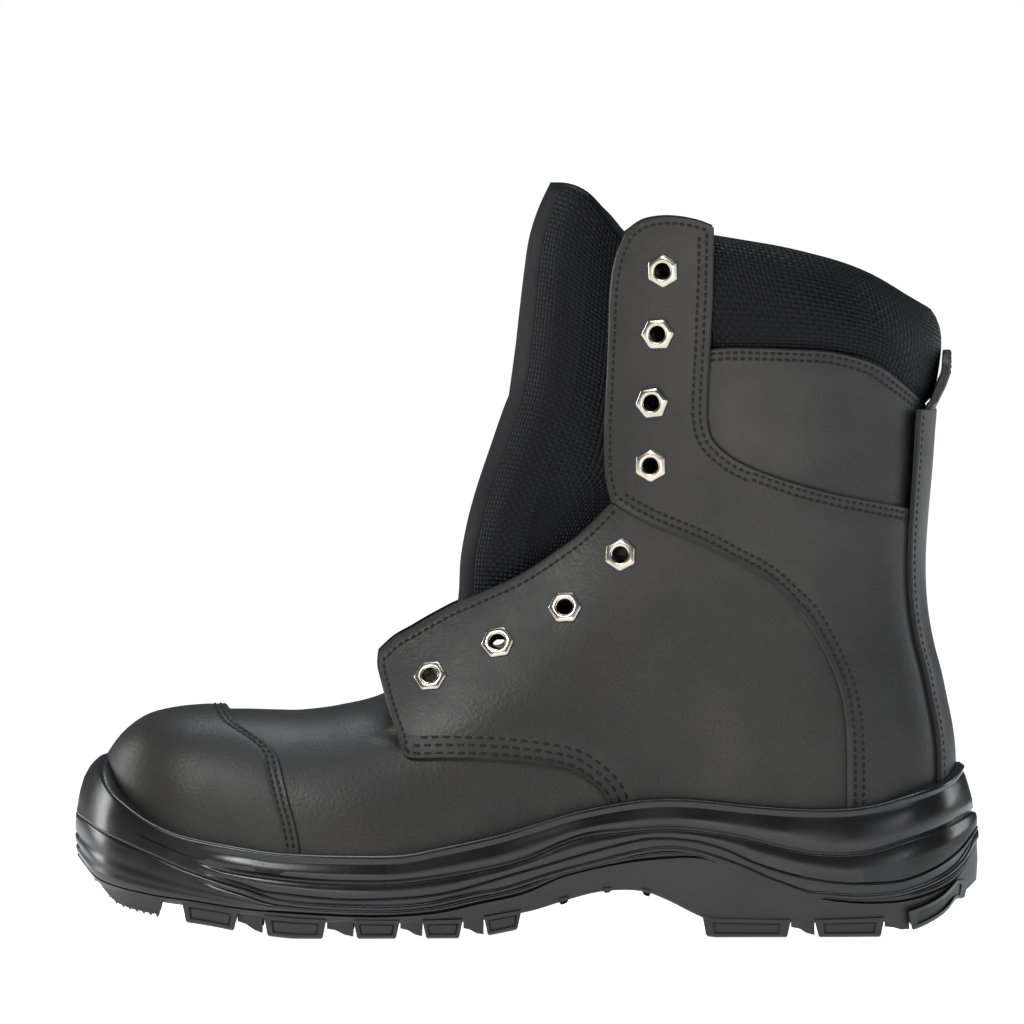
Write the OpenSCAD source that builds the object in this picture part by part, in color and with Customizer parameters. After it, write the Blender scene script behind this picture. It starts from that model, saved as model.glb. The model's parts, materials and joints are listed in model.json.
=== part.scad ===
// Laced fire boot, left foot: leather upper on a moulded two-layer safety sole.
// Frame: the toe points to -X, the outer side of the foot faces -Y, +Z is up.
// The origin is on the ground, below the middle of the boot's length and width.

/* [Overall size] */
// Length of the sole, from toe to heel
sole_length = 310; // [250:1:372]
// Width scale of the whole boot, as a percentage of a regular fitting
width_fitting = 100; // [84:1:120]
// Height from the ground to the tip of the tongue
boot_height = 258; // [215:1:310]

/* [Upper] */
// Thickness of each leather panel
leather_t = 1.8; // [1.5:0.1:2.2]
// Gap that keeps two layers apart
layer_gap = 0.2; // [0.1:0.05:0.3]
// Thickness of the inner lining
lining_t = 1; // [0.6:0.1:1.4]
// Thickness of the padding in the collar
collar_pad = 5; // [3:0.5:6]
// Thickness of the padding in the tongue
tongue_pad = 5; // [3:0.5:6]
// Half width of the tongue between its two flanks
tongue_half = 20.5; // [16.5:0.5:21]
// Width of the strip that covers the back seam
backstay_w = 32; // [24:1:38]
// Height of the pull tab above the back of the collar seam
tab_height = 19; // [14:1:25]

/* [Safety parts] */
// Wall of the steel toe cap
cap_t = 1.8; // [1.5:0.1:2.2]
// Thickness of the steel plate under the foot
plate_t = 0.6; // [0.4:0.1:0.8]
// Thickness of the heel counter
counter_t = 1.4; // [1:0.1:1.6]

/* [Sole] */
// Depth of the tread under the web of the outsole
tread_depth = 5.5; // [4.5:0.1:6.6]
// Thickness of the removable footbed
footbed_t = 5; // [3:0.5:7]

/* [Eyelets] */
// Radius of the hole that the lace passes through
eyelet_bore_r = 2.7; // [2.2:0.1:3]
// Wall of the eyelet's barrel
eyelet_wall = 0.5; // [0.3:0.1:0.7]
// Radius to the corners of the hexagonal flange
eyelet_hex_r = 5.9; // [5.2:0.1:7]
// Thickness of the hexagonal flange
eyelet_flange_t = 0.9; // [0.7:0.1:1.2]

/* [Hidden] */
$fn = 48;

// The curves below are drawn for a regular boot and scaled by these three.
sx = sole_length / 310;
sy = width_fitting / 100;
sz = boot_height / 258;

black_leather = [0.11, 0.105, 0.10];
black_textile = [0.07, 0.07, 0.08];
black_rubber = [0.09, 0.09, 0.095];
grey_sole = [0.13, 0.13, 0.135];
foam_grey = [0.35, 0.35, 0.36];
steel = [0.62, 0.63, 0.65];
nickel = [0.78, 0.74, 0.68];
felt = [0.42, 0.40, 0.36];

// ---- Smooth curve through [place, value] points ----
function clamp(v, lo, hi) = min(hi, max(lo, v));
function step01(v) = let (t = clamp(v, 0, 1)) t * t * (3 - 2 * t);
function span(tab, v, i = 0) = i >= len(tab) - 2 || v < tab[i + 1][0] ? i : span(tab, v, i + 1);
function slope(tab, i) =
    let (a = max(i - 1, 0), b = min(i + 1, len(tab) - 1))
    (tab[b][1] - tab[a][1]) / (tab[b][0] - tab[a][0]);
function curve(tab, v) =
    let (
        i = span(tab, v),
        p = tab[i],
        q = tab[i + 1],
        w = q[0] - p[0],
        t = clamp((v - p[0]) / w, 0, 1),
        m0 = slope(tab, i) * w,
        m1 = slope(tab, i + 1) * w
    )
    (2 * t ^ 3 - 3 * t ^ 2 + 1) * p[1] + (t ^ 3 - 2 * t ^ 2 + t) * m0
        + (3 * t ^ 2 - 2 * t ^ 3) * q[1] + (t ^ 3 - t ^ 2) * m1;

// ---- Plan of the last: stations run from the toe tip (0) to the heel tip (1) ----
last_half = 147;
function station(x) = acos(clamp(-x / last_half, -1, 1)) / 180;
function station_x(t) = -last_half * cos(180 * t);
function by_station(tab) = [for (p = tab) [station(p[0]), p[1]]];

plan_lateral = by_station([[-147, 0], [-140, 24], [-125, 37.4], [-105, 44], [-80, 48.2], [-55, 48.6],
    [-20, 43.8], [10, 39.6], [50, 35.5], [80, 34], [110, 31.5], [130, 24.5], [143, 11.5], [147, 0]]);
plan_medial = by_station([[-147, 0], [-140, 25], [-125, 39], [-105, 45.4], [-80, 48.4], [-55, 46.6],
    [-20, 41], [10, 36], [50, 32.8], [80, 32.5], [110, 31], [130, 24.5], [143, 11.5], [147, 0]]);
// Height of the inside floor, which rises at the toe and at the heel
floor_curve = by_station([[-147, 33], [-140, 29], [-125, 23], [-100, 18.5], [-70, 16], [-40, 17], [0, 22],
    [50, 28.5], [100, 30], [147, 30]]);
// Height of the upper along the middle of the toe and vamp
ridge_curve = by_station([[-147, 52], [-143.5, 62.3], [-138, 69.5], [-130, 75.2], [-120, 77.8],
    [-109, 78.8], [-97, 79], [-85, 78.7], [-77, 78.7], [-64, 80.4], [-49, 84.4], [-36, 93],
    [-24, 106], [-8, 124]]);
fullness_curve = by_station([[-147, 2.7], [-110, 2.7], [-80, 2.5], [-40, 2.35], [0, 2.3]]);

function plan(t, side) = curve(side < 0 ? plan_lateral : plan_medial, t);
// Outward direction of the plan at a station, as [x, y] for the +Y half
function plan_normal(t, side) =
    let (
        e = 0.004,
        a = clamp(t - e, 0, 1),
        b = clamp(t + e, 0, 1),
        dx = station_x(b) - station_x(a),
        dy = plan(b, side) - plan(a, side),
        n = norm([dx, dy])
    )
    t < e ? [-1, 0] : t > 1 - e ? [1, 0] : [-dy / n, dx / n];
function floor_z(t) = curve(floor_curve, t);
// A point of the plan, moved outwards by off, as [x, y] in real millimetres
function plan_point(t, side, off) =
    let (n = plan_normal(t, side))
    [station_x(t) * sx + n[0] * off, side * (plan(t, side) * sy + n[1] * off)];

// ---- Foot form: toe and vamp, as arched sections. q runs from -1 (outer side) over 0 (ridge) to 1 ----
function foot_point(t, q, o) =
    let (
        side = q < 0 ? -1 : 1,
        n = plan_normal(t, side),
        half = max(plan(t, side) * sy - o * n[1], 0),
        base = floor_z(t) * sz,
        rise = max(curve(ridge_curve, t) * sz - base - o, 1),
        power = 2 / curve(fullness_curve, t),
        a = 90 * (1 - abs(q))
    )
    [station_x(t) * sx + o * max(-n[0], 0) * cos(a / 1.6), side * half * cos(a) ^ power,
        base + rise * sin(a) ^ power];

// ---- Leg form: quarters and shaft, as level outlines that close at the back ----
half_breadth_x = [-50, -20, 10, 40, 75, 110];
half_breadth_z = [20, 45, 70, 100, 130, 160, 200, 245];
// Half breadth at each height (a row) and place along the boot (a column)
half_breadths = [
    [50.2, 45.8, 41.6, 38, 35.5, 33],
    [47.8, 45, 41.3, 37.5, 35, 33],
    [37.6, 41.2, 39.8, 36.5, 34.5, 32.5],
    [21, 29.5, 34.5, 35, 33.8, 31.5],
    [8, 16, 26, 33, 34, 32],
    [4, 10, 19, 31.2, 35.5, 35],
    [4, 10, 19.5, 32.6, 39, 40],
    [4, 10, 20, 34.5, 42, 43]
];
back_curve = [[15, 145], [61, 145], [71, 144], [80, 142.2], [90, 140.1], [99, 137.7], [109, 135.8],
    [118, 134.9], [128, 134.7], [140, 135.3], [161, 137.1], [180, 138.6], [195, 141], [204, 142],
    [212, 141], [230, 137], [245, 134]];
back_depth = [[15, 44], [60, 44], [120, 42], [180, 50], [245, 54]];
// The inner side of the foot is this much narrower near the ground
medial_shift = [[-50, 1.8], [-20, 2.8], [10, 3.6], [40, 2.6], [75, 1.3], [110, 0.5]];

function breadth(x, z, side) =
    let (
        row = [for (i = [0:len(half_breadth_z) - 1])
            [half_breadth_z[i], curve([for (j = [0:len(half_breadth_x) - 1])
                [half_breadth_x[j], half_breadths[i][j]]], clamp(x, -50, 110))]]
    )
    curve(row, clamp(z, 20, 245))
        - (side > 0 ? curve(medial_shift, clamp(x, -50, 110)) * (1 - step01((z - 30) / 80)) : 0);
// Point of the leg form. c runs from the back (0) over the end of the rounding (1) to the open front;
// x and z inputs are for a regular boot
leg_round_power = 0.91;
function depth_at(c, z) =
    let (r = curve(back_depth, z))
    c < 1 ? r * (1 - cos(90 * c) ^ leg_round_power) : r + (c - 1) * 100;
function leg_point(c, z, side, o) =
    let (
        back = curve(back_curve, clamp(z, 15, 245)),
        x = back - depth_at(c, z),
        near = c < 1 ? cos(90 * c) ^ leg_round_power : 0,
        closing = c < 1 ? sin(90 * c) ^ leg_round_power : 1
    )
    [x * sx - o * near, side * (breadth(x, z, side) * sy - o) * closing, z * sz];
// The same surface by place: half breadth in real millimetres, without the rounding at the back
function leg_half(x, z, side) = breadth(x, z, side) * sy;
// Inner face of the shaft: thin at the ankle, padded at the collar
layers_in = 3 * (leather_t + layer_gap);
function lining_o(z) = layers_in + collar_pad * step01((z - 125) / 45);

// ---- Tongue: a channel that is closed at the front ----
tongue_front = [[92, -31], [104, -27.5], [114, -24.6], [128, -23.7], [138, -22], [147, -19.8],
    [157, -16.6], [166, -13.3], [176, -9.8], [185, -6.9], [200, -4.4], [210, -3.4], [224, -2],
    [238, -0.2], [248, 2.8], [258, 7.4]];
tongue_round = 23;
tongue_power = 2.4;
// A thicker facing leaves the tongue less room
tongue_w = tongue_half - 2 * (leather_t - 1.8) - (lining_t - 1);

// ---- Solids from grids ----
// A sheet between two grids of points, closed along its four edges
module sheet(outer, inner) {
    n = len(outer);
    m = len(outer[0]);
    skins = [outer, inner];
    function at(s, i, j) = (s * n + i) * m + j;
    polyhedron(
        points = [for (s = skins) for (row = s) each row],
        faces = concat(
            [for (i = [0:n - 2]) for (j = [0:m - 2]) [at(0, i, j), at(0, i, j + 1), at(0, i + 1, j + 1)]],
            [for (i = [0:n - 2]) for (j = [0:m - 2]) [at(0, i, j), at(0, i + 1, j + 1), at(0, i + 1, j)]],
            [for (i = [0:n - 2]) for (j = [0:m - 2]) [at(1, i, j), at(1, i + 1, j + 1), at(1, i, j + 1)]],
            [for (i = [0:n - 2]) for (j = [0:m - 2]) [at(1, i, j), at(1, i + 1, j), at(1, i + 1, j + 1)]],
            [for (i = [0:n - 2]) [at(0, i, 0), at(0, i + 1, 0), at(1, i + 1, 0), at(1, i, 0)]],
            [for (i = [0:n - 2]) [at(0, i, m - 1), at(1, i, m - 1), at(1, i + 1, m - 1), at(0, i + 1, m - 1)]],
            [for (j = [0:m - 2]) [at(0, 0, j), at(1, 0, j), at(1, 0, j + 1), at(0, 0, j + 1)]],
            [for (j = [0:m - 2]) [at(0, n - 1, j), at(0, n - 1, j + 1), at(1, n - 1, j + 1), at(1, n - 1, j)]]
        ),
        convexity = 6
    );
}
// A solid from closed outline rings around the foot; the first and last are capped across the foot.
// Two solids that lie face to face split that face the same way, so one of them is turned.
module ring_solid(rings, turned = false) {
    n = len(rings);
    m = len(rings[0]);
    half = m / 2;
    last = (n - 1) * m;
    function low(i, j) = i * m + j % m;
    function high(i, j) = (i + 1) * m + j % m;
    polyhedron(
        points = [for (ring = rings) each ring],
        faces = concat(
            [for (i = [0:n - 2]) for (j = [0:m - 1]) turned
                ? [low(i, j), high(i, j), low(i, j + 1)]
                : [low(i, j), high(i, j + 1), low(i, j + 1)]],
            [for (i = [0:n - 2]) for (j = [0:m - 1]) turned
                ? [low(i, j + 1), high(i, j), high(i, j + 1)]
                : [low(i, j), high(i, j), high(i, j + 1)]],
            [for (j = [0:half - 2]) [j, j + 1, m - j - 1]],
            [for (j = [1:half - 1]) [j, m - j - 1, m - j]],
            [for (j = [0:half - 2]) [last + j, last + m - j - 1, last + j + 1]],
            [for (j = [1:half - 1]) [last + j, last + m - j, last + m - j - 1]]
        ),
        convexity = 6
    );
}
// One ring: off(t) is the distance outside the plan, rise(t) its height above the ground
ring_steps = 22;
function ring(off, rise) = concat(
    [for (i = [0:ring_steps]) let (t = i / ring_steps, p = plan_point(t, -1, off(t))) [p[0], p[1], rise(t) * sz]],
    [for (i = [1:ring_steps - 1]) let (t = 1 - i / ring_steps, p = plan_point(t, 1, off(t))) [p[0], p[1], rise(t) * sz]]
);

// ---- Grids on the two forms ----
leg_columns = [0, 0.12, 0.25, 0.4, 0.55, 0.7, 0.85, 1, 1.13, 1.26, 1.39, 1.52, 1.66, 1.8, 1.94, 2.08, 2.22, 2.36,
    2.5, 2.62];
leg_rows = [20, 31, 42, 53, 64, 75, 86, 97, 108, 119, 130, 142, 154, 167, 180, 193, 206, 219, 232, 248];
function within(list, lo, hi) = [for (i = [0:len(list) - 1])
    if (list[min(i + 1, len(list) - 1)] > lo && list[max(i - 1, 0)] < hi) list[i]];
function leg_grid(columns, rows, side, o) =
    [for (c = columns) [for (z = rows) leg_point(c, z, side, o)]];
// Layer of the leg form on one side, between offsets a and b; a whole wrap joins both sides at the back
module leg_layer(side, a, b, lo = 20, hi = 248, c0 = 0, c1 = 2.62) {
    columns = within(leg_columns, c0, c1);
    rows = within(leg_rows, lo, hi);
    if (side > 0)
        sheet(leg_grid(columns, rows, side, a), leg_grid(columns, rows, side, b));
    else
        mirror_sheet(leg_grid(columns, rows, side, a), leg_grid(columns, rows, side, b));
}
module mirror_sheet(outer, inner) {
    sheet([for (i = [len(outer) - 1:-1:0]) outer[i]], [for (i = [len(inner) - 1:-1:0]) inner[i]]);
}
function wrap_grid(c1, rows, o) =
    let (columns = within(leg_columns, 0, c1), n = len(columns))
    concat(
        [for (i = [n - 1:-1:1]) [for (z = rows) leg_point(columns[i], z, -1, o(z))]],
        [for (i = [0:n - 1]) [for (z = rows) leg_point(columns[i], z, 1, o(z))]]
    );
module leg_wrap(c1, lo, hi, a, b) {
    rows = within(leg_rows, lo, hi);
    sheet(wrap_grid(c1, rows, a), wrap_grid(c1, rows, b));
}

foot_stations = [for (i = [0:16]) 0.04 + i * 0.033];
foot_turns = [-1, -0.86, -0.72, -0.58, -0.44, -0.3, -0.15, 0, 0.15, 0.3, 0.44, 0.58, 0.72, 0.86, 1];
// Behind the ball of the foot the vamp and its lining pass inside the quarters and the eyelet stays
stay_room = 2 * (leather_t + layer_gap);
function under_leg(p, q, o) =
    let (
        x = p[0] / sx,
        z = p[2] / sz,
        limit = leg_half(x, z, q < 0 ? -1 : 1) - o - layer_gap - leather_t / 2
            - stay_room * (0.5 + step01((z - 64) / 8) / 2)
    )
    x < -62 ? p : [p[0], (q < 0 ? -1 : 1) * min(abs(p[1]), max(limit, 0)), p[2]];
function foot_grid(lo, hi, o) =
    [for (t = within(foot_stations, lo, hi)) [for (q = foot_turns) under_leg(foot_point(t, q, o), q, o)]];
module foot_layer(lo, hi, a, b) {
    sheet(foot_grid(lo, hi, a), foot_grid(lo, hi, b));
}

// Keeps what lies inside a side-view outline, on one side (or on both, with side 0)
module trim(outline, side) {
    far = 90 * sy;
    intersection() {
        children();
        translate([0, side > 0 ? far : side < 0 ? -layer_gap : far, 0])
            rotate([90, 0, 0])
                linear_extrude(side == 0 ? 2 * far : far - layer_gap)
                    polygon([for (p = outline) [p[0] * sx, p[1] * sz]]);
    }
}

// ---- Side-view outlines (length, height) of the panels, for a regular boot ----
throat_edge = [[-49, 98], [-45, 102], [-35, 108], [-20, 115.5], [-5, 122], [10, 131.5], [20, 139.5], [28, 148]];
quarter_outline = concat(
    throat_edge,
    [[150, 148], [150, 30.3], [95, 30.3], [50, 28.8], [30, 26], [28, 46.5], [22, 52.5], [13, 57.8], [2, 60], [-13, 61], [-40, 61.8],
        [-43, 64], [-48, 79], [-51, 93]]
);
rear_outline = [[29, 147.6], [49, 138], [71, 128], [82, 122], [92, 112], [102, 96], [107.5, 80], [109, 65],
    [109, 30.3], [150, 30.3], [150, 143], [120, 148.5], [96, 154], [78, 160], [67, 166], [61.8, 175], [61.8, 147.8]];
facing_outline = [[28, 148.6], [26.3, 160], [27, 190], [28.3, 220], [33.5, 240], [38, 243], [44, 245.5],
    [50, 246], [61.2, 244.5], [61.2, 148.6]];
facing_stay_outline = [[29.5, 149.5], [28, 160], [28.6, 190], [30, 220], [35, 239], [40, 242], [58.5, 242],
    [60.9, 230], [60.9, 149.5]];
shaft_outline = [[61.8, 148.8], [150, 148.8], [150, 175], [139, 181.5], [127, 191.5], [115, 198], [96, 201],
    [72, 201.5], [61.8, 201]];
eyelet_stay_outline = [[-46, 99], [-43, 102], [-34, 106.5], [-4, 120], [20, 137.5], [29, 146.5], [50, 146.5],
    [44, 131], [27, 104], [0, 90], [-38, 76], [-45, 88]];
lining_outline = [[31, 26], [31, 79], [-20, 79], [0, 88], [19, 98.5], [41, 117], [57, 135], [60, 148.6],
    [62.2, 148.6], [62.2, 212], [82, 208], [107, 199], [125, 190], [150, 184], [150, 30.3], [95, 30.3], [50, 28.8]];
overlay_outline = [[-150, 24], [-150, 90], [-103, 90], [-103, 78], [-99, 73.5], [-90, 67.5], [-85.5, 62.5],
    [-83.5, 56], [-77.5, 31], [-76, 12]];
vamp_outline = [[-150, 10], [-150, 96], [-34, 96], [-34, 74], [26, 73], [26, 24], [0, 10]];

// ---- Eyelets ----
lower_eyelet_places = [[-33, 89], [-10, 100.5], [13, 112.5], [32, 130.5]];
upper_eyelet_places = [[42.3, 161], [42.7, 182.5], [44.7, 206], [46.4, 227.5]];
eyelet_barrel_r = eyelet_bore_r + eyelet_wall;
eyelet_seat = 0.35;
washer_seat = 0.5;
eyelet_clearance = 0.1;
washer_t = 0.6;
washer_r = eyelet_barrel_r + 1.3;
lower_stack = 2 * leather_t + layer_gap;
upper_stack = 2 * leather_t + 2 * layer_gap + lining_t;
function eyelet_reach(stack) = stack + eyelet_seat + washer_seat + washer_t;

function cross_unit(a, b) = let (c = cross(a, b)) c / norm(c);
// Places children on the leg form with +Z along the outward normal
module on_leg(place, side, o) {
    e = 2;
    x = place[0];
    z = place[1];
    fx = (leg_half(x + e, z, side) - leg_half(x - e, z, side)) / (2 * e * sx);
    fz = (leg_half(x, z + e, side) - leg_half(x, z - e, side)) / (2 * e * sz);
    n = [-fx, side, -fz] / norm([fx, 1, fz]);
    u = cross_unit([0, 0, 1], n);
    v = cross(n, u);
    y = side * (leg_half(x, z, side) - o);
    multmatrix([
        [u[0], v[0], n[0], x * sx],
        [u[1], v[1], n[1], y],
        [u[2], v[2], n[2], z * sz],
        [0, 0, 0, 1]
    ])
        children();
}
module at_eyelets(places, side, o) {
    for (place = places)
        on_leg(place, side, o)
            children();
}
module eyelet(stack) {
    difference() {
        union() {
            translate([0, 0, eyelet_seat])
                cylinder(h = eyelet_flange_t, r = eyelet_hex_r, $fn = 6);
            translate([0, 0, -eyelet_reach(stack)])
                cylinder(h = eyelet_reach(stack) + eyelet_seat + eyelet_flange_t / 2, r = eyelet_barrel_r);
        }
        translate([0, 0, -eyelet_reach(stack) - 1])
            cylinder(h = eyelet_reach(stack) + eyelet_flange_t + 3, r = eyelet_bore_r);
    }
}
module eyelet_hole() {
    translate([0, 0, -12])
        cylinder(h = 18, r = eyelet_barrel_r + eyelet_clearance, $fn = 32);
}
module washer(stack) {
    translate([0, 0, -stack - washer_seat - washer_t])
        difference() {
            cylinder(h = washer_t, r = washer_r);
            translate([0, 0, -1])
                cylinder(h = washer_t + 2, r = eyelet_barrel_r + eyelet_clearance / 2);
        }
}

// ---- Layer offsets, measured inwards from the outer face of the rear panel ----
pitch = leather_t + layer_gap;
backstay_out = -pitch;
rear_out = 0;
quarter_out = pitch;
stay_out = 2 * pitch;
lining_out = 3 * pitch;
function constant(v) = function (z) v;

// ---- Sole ----
sole_top = by_station([[-147, 62], [-146.6, 61.6], [-145.3, 59.5], [-143, 56], [-139.5, 51], [-134, 45.7], [-127, 40.3], [-119, 36.2],
    [-110, 33.8], [-96, 31.4], [-84, 29.6], [-58, 28.7], [-43, 29], [-32, 31], [-11, 35.5], [1, 39],
    [17, 43.7], [38, 47.4], [54, 47.8], [78, 45.4], [95, 44.3], [108, 44.4], [118, 45.8], [127, 48.5],
    [136, 51.8], [142, 54.7], [145.2, 57.6], [146.6, 58.8], [147, 59]]);
outsole_top = by_station([[-147, 27.5], [-146.6, 27.2], [-145, 25], [-140, 19.5], [-125, 14.8], [-110, 12.5], [-95, 10.2], [-84, 9.2],
    [-53, 7.7], [-32, 8.9], [-16, 12.3], [-2, 15.4], [12, 21.2], [32, 25.6], [48, 27.3], [59, 27.3],
    [73, 23.2], [84, 18.8], [102, 13], [121, 11.8], [133, 14.3],
    [142, 20.5], [145.2, 28.5], [146.6, 32.4], [147, 33]]);
web_bottom = by_station([[-147, 24], [-146.6, 23.7], [-145, 21.7], [-140, 16.5], [-125, 12.5], [-110, 10.4], [-95, 7.9], [-80, 6.1],
    [-65, 5.5], [-22, 5.5], [-5, 8], [3, 9.7], [12, 12.5], [25, 15.7], [39, 15.8], [48, 12.5], [57, 8],
    [64, 5.5], [120, 5.5], [132, 8], [142, 13.5], [145.2, 20.5], [146.6, 24.4], [147, 25]]);
arch_rib_drop = by_station([[-147, 1], [-5, 1], [10, 0.25], [42, 0.25], [56, 1], [147, 1]]);
function web_z(t) = curve(web_bottom, t) - 5.5 / sz + tread_depth / sz;
// The middle of the outsole's top is lower than its edge wherever the floor is low
function core_z(t) = min(curve(outsole_top, t), floor_z(t) - 8);
function ground_z(t) = max(0, curve(web_bottom, t) - 5.5 * curve(arch_rib_drop, t));

wall_outside = 8;
cup_clearance = pitch + 0.6;
bond_gap = 0.15;
core_edge = 0.5;
core_gap = 0.5;
bond_edge = 6.4;
// At the toe and heel tips the rim leans in to follow the leather
function tip(t) = 1 - step01(min(t, 1 - t) / 0.13);
function toe_tip(t) = 1 - step01(t / 0.13);
function heel_tip(t) = 1 - step01((1 - t) / 0.13);
function wall_at(t, part) = let (low = curve(outsole_top, t) + bond_gap, top = curve(sole_top, t)) low + part * (top - low);
function inside_floor(t) = floor_z(t) - (board_t + plate_t + shank_t + 0.6) / sz;

// Length ranges of the tread blocks, toe to heel, and the channels that part them lengthwise
tread_blocks = [[-156, -138], [-136, -130], [-128, -118], [-116, -99], [-89, -68], [-59, -44],
    [-35.5, -22], [-14.5, -2], [11, 14], [26, 28.7], [39.5, 42.3], [60, 90], [98.5, 122], [131, 156]];
channel_w = 4;
channels = [-17, 17];
module outsole() {
    color(black_rubber)
        difference() {
            ring_solid([
                ring(function (t) 2.6, function (t) ground_z(t)),
                ring(function (t) 4.6, function (t) ground_z(t) + 2),
                ring(function (t) 5, function (t) max(web_z(t), ground_z(t) + 2.5)),
                ring(function (t) 6.5, function (t) 0.5 * (web_z(t) + curve(outsole_top, t))),
                ring(function (t) bond_edge, function (t) curve(outsole_top, t) - bond_gap),
                ring(function (t) core_edge, function (t) core_z(t) - core_gap)
            ], turned = true);
            for (i = [0:len(tread_blocks) - 2])
                tread_gap(tread_blocks[i][1], tread_blocks[i + 1][0], 3, -90, 90);
            for (y = channels)
                tread_gap(-160, 160, 28, y - channel_w / 2, y + channel_w / 2);
        }
}
// Clears the space under the web between two places along the sole
module tread_gap(x0, x1, steps, y0, y1) {
    places = [for (i = [0:steps]) x0 + (x1 - x0) * i / steps];
    translate([0, y1 * sy, 0])
        rotate([90, 0, 0])
            linear_extrude((y1 - y0) * sy)
                polygon(concat(
                    [for (x = places) [x * sx, web_z(station(x)) * sz]],
                    [[x1 * sx, -5], [x0 * sx, -5]]
                ));
}

module midsole() {
    color(grey_sole)
        ring_solid([
            ring(function (t) core_edge, function (t) core_z(t) + bond_gap),
            ring(function (t) bond_edge, function (t) wall_at(t, 0)),
            ring(function (t) wall_outside, function (t) wall_at(t, 0.16)),
            ring(function (t) wall_outside - 0.2, function (t) wall_at(t, 0.34)),
            ring(function (t) wall_outside - 1.2, function (t) wall_at(t, 0.42)),
            ring(function (t) wall_outside - 0.8 - 1.4 * tip(t), function (t) wall_at(t, 0.72)),
            ring(function (t) wall_outside - 1.4 - 5.4 * toe_tip(t) - 2.2 * heel_tip(t), function (t) wall_at(t, 0.94)),
            ring(function (t) wall_outside - 2.6 - 6.2 * toe_tip(t) - 1.8 * heel_tip(t), function (t) wall_at(t, 1)),
            ring(function (t) cup_clearance - 5.4 * toe_tip(t) - 0.6 * heel_tip(t), function (t) wall_at(t, 1)),
            ring(function (t) cup_clearance - 1.6 * toe_tip(t), function (t) wall_at(t, 0.72)),
            ring(function (t) cup_clearance - toe_tip(t), function (t) inside_floor(t))
        ]);
}

// ---- Stack under the foot ----
board_inset = lining_out + lining_t + 1.4;
board_t = 1.8;
shank_w = 16;
shank_t = 1.2;
shank_from = -20;
shank_to = 80;
module under_foot(inset, low, high) {
    ring_solid([
        ring(function (t) -inset, function (t) floor_z(t) + low / sz),
        ring(function (t) -inset, function (t) floor_z(t) + high / sz)
    ]);
}
module insole_board() {
    color(felt)
        under_foot(board_inset, -board_t - 0.1, -0.1);
}
module penetration_plate() {
    color(steel)
        under_foot(board_inset, -board_t - 0.2 - plate_t, -board_t - 0.2);
}
module shank() {
    places = [for (i = [0:8]) shank_from + (shank_to - shank_from) * i / 8];
    function strip(z) = [for (x = places) [for (y = [-shank_w / 2, shank_w / 2])
        [x * sx, y, floor_z(station(x)) * sz + z]]];
    top = -board_t - plate_t - 0.35;
    color(steel)
        sheet(strip(top), strip(top - shank_t));
}
footbed_inset = lining_out + lining_t + 2.4;
footbed_gap = 0.4;
cover_t = 1;
module footbed() {
    color(foam_grey)
        under_foot(footbed_inset, footbed_gap, footbed_gap + footbed_t - cover_t);
}
module footbed_cover() {
    color(black_textile)
        under_foot(footbed_inset, footbed_gap + footbed_t - cover_t, footbed_gap + footbed_t);
}

// ---- Toe and vamp ----
cap_end = 0.27;
module toe_cap() {
    color(steel)
        foot_layer(0, cap_end - 0.03, stay_out - 0.1, stay_out - 0.1 + cap_t);
}
module toe_cap_edge_strip() {
    color(black_rubber)
        trim([[-92, 10], [-92, 100], [-84, 100], [-84, 10]], 0)
            foot_layer(cap_end, 0.36, stay_out, stay_out + 0.8 * cap_t);
}
module vamp() {
    color(black_leather)
        trim(vamp_outline, 0)
            foot_layer(0, 0.57, quarter_out - 0.1, quarter_out - 0.1 + leather_t);
}
module toe_overlay() {
    color(black_leather)
        trim(overlay_outline, 0)
            foot_layer(0, 0.4, rear_out, rear_out + leather_t);
}
module vamp_lining() {
    color(foam_grey)
        trim(vamp_outline, 0)
            foot_layer(0, 0.57, lining_out, lining_out + lining_t);
}

// ---- Quarters and shaft ----
module quarter(side) {
    color(black_leather)
        difference() {
            trim(quarter_outline, side)
                leg_layer(side, quarter_out, quarter_out + leather_t, 24, 148);
            at_eyelets(lower_eyelet_places, side, quarter_out)
                eyelet_hole();
        }
}
module rear_panel(side) {
    color(black_leather)
        trim(rear_outline, side)
            leg_layer(side, rear_out, rear_out + leather_t, 24, 176, 0, 1.8);
}
module shaft_panel(side) {
    color(black_leather)
        trim(shaft_outline, side)
            leg_layer(side, quarter_out, quarter_out + leather_t, 148, 202, 0, 1.4);
}
module eyelet_stay(side) {
    color(black_leather)
        difference() {
            trim(eyelet_stay_outline, side)
                leg_layer(side, stay_out, stay_out + leather_t, 75, 148, 1, 2.62);
            at_eyelets(lower_eyelet_places, side, quarter_out)
                eyelet_hole();
        }
}
module facing(side) {
    color(black_leather)
        difference() {
            trim(facing_outline, side)
                leg_layer(side, rear_out, rear_out + leather_t, 148, 248, 1, 1.8);
            at_eyelets(upper_eyelet_places, side, rear_out)
                eyelet_hole();
        }
}
module facing_stay(side) {
    color(black_leather)
        difference() {
            trim(facing_stay_outline, side)
                leg_layer(side, quarter_out, quarter_out + leather_t, 148, 248, 1, 1.8);
            at_eyelets(upper_eyelet_places, side, rear_out)
                eyelet_hole();
        }
}
module facing_lining(side) {
    color(foam_grey)
        difference() {
            trim(facing_stay_outline, side)
                leg_layer(side, stay_out, stay_out + lining_t, 148, 248, 1, 1.8);
            at_eyelets(upper_eyelet_places, side, rear_out)
                eyelet_hole();
        }
}
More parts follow.
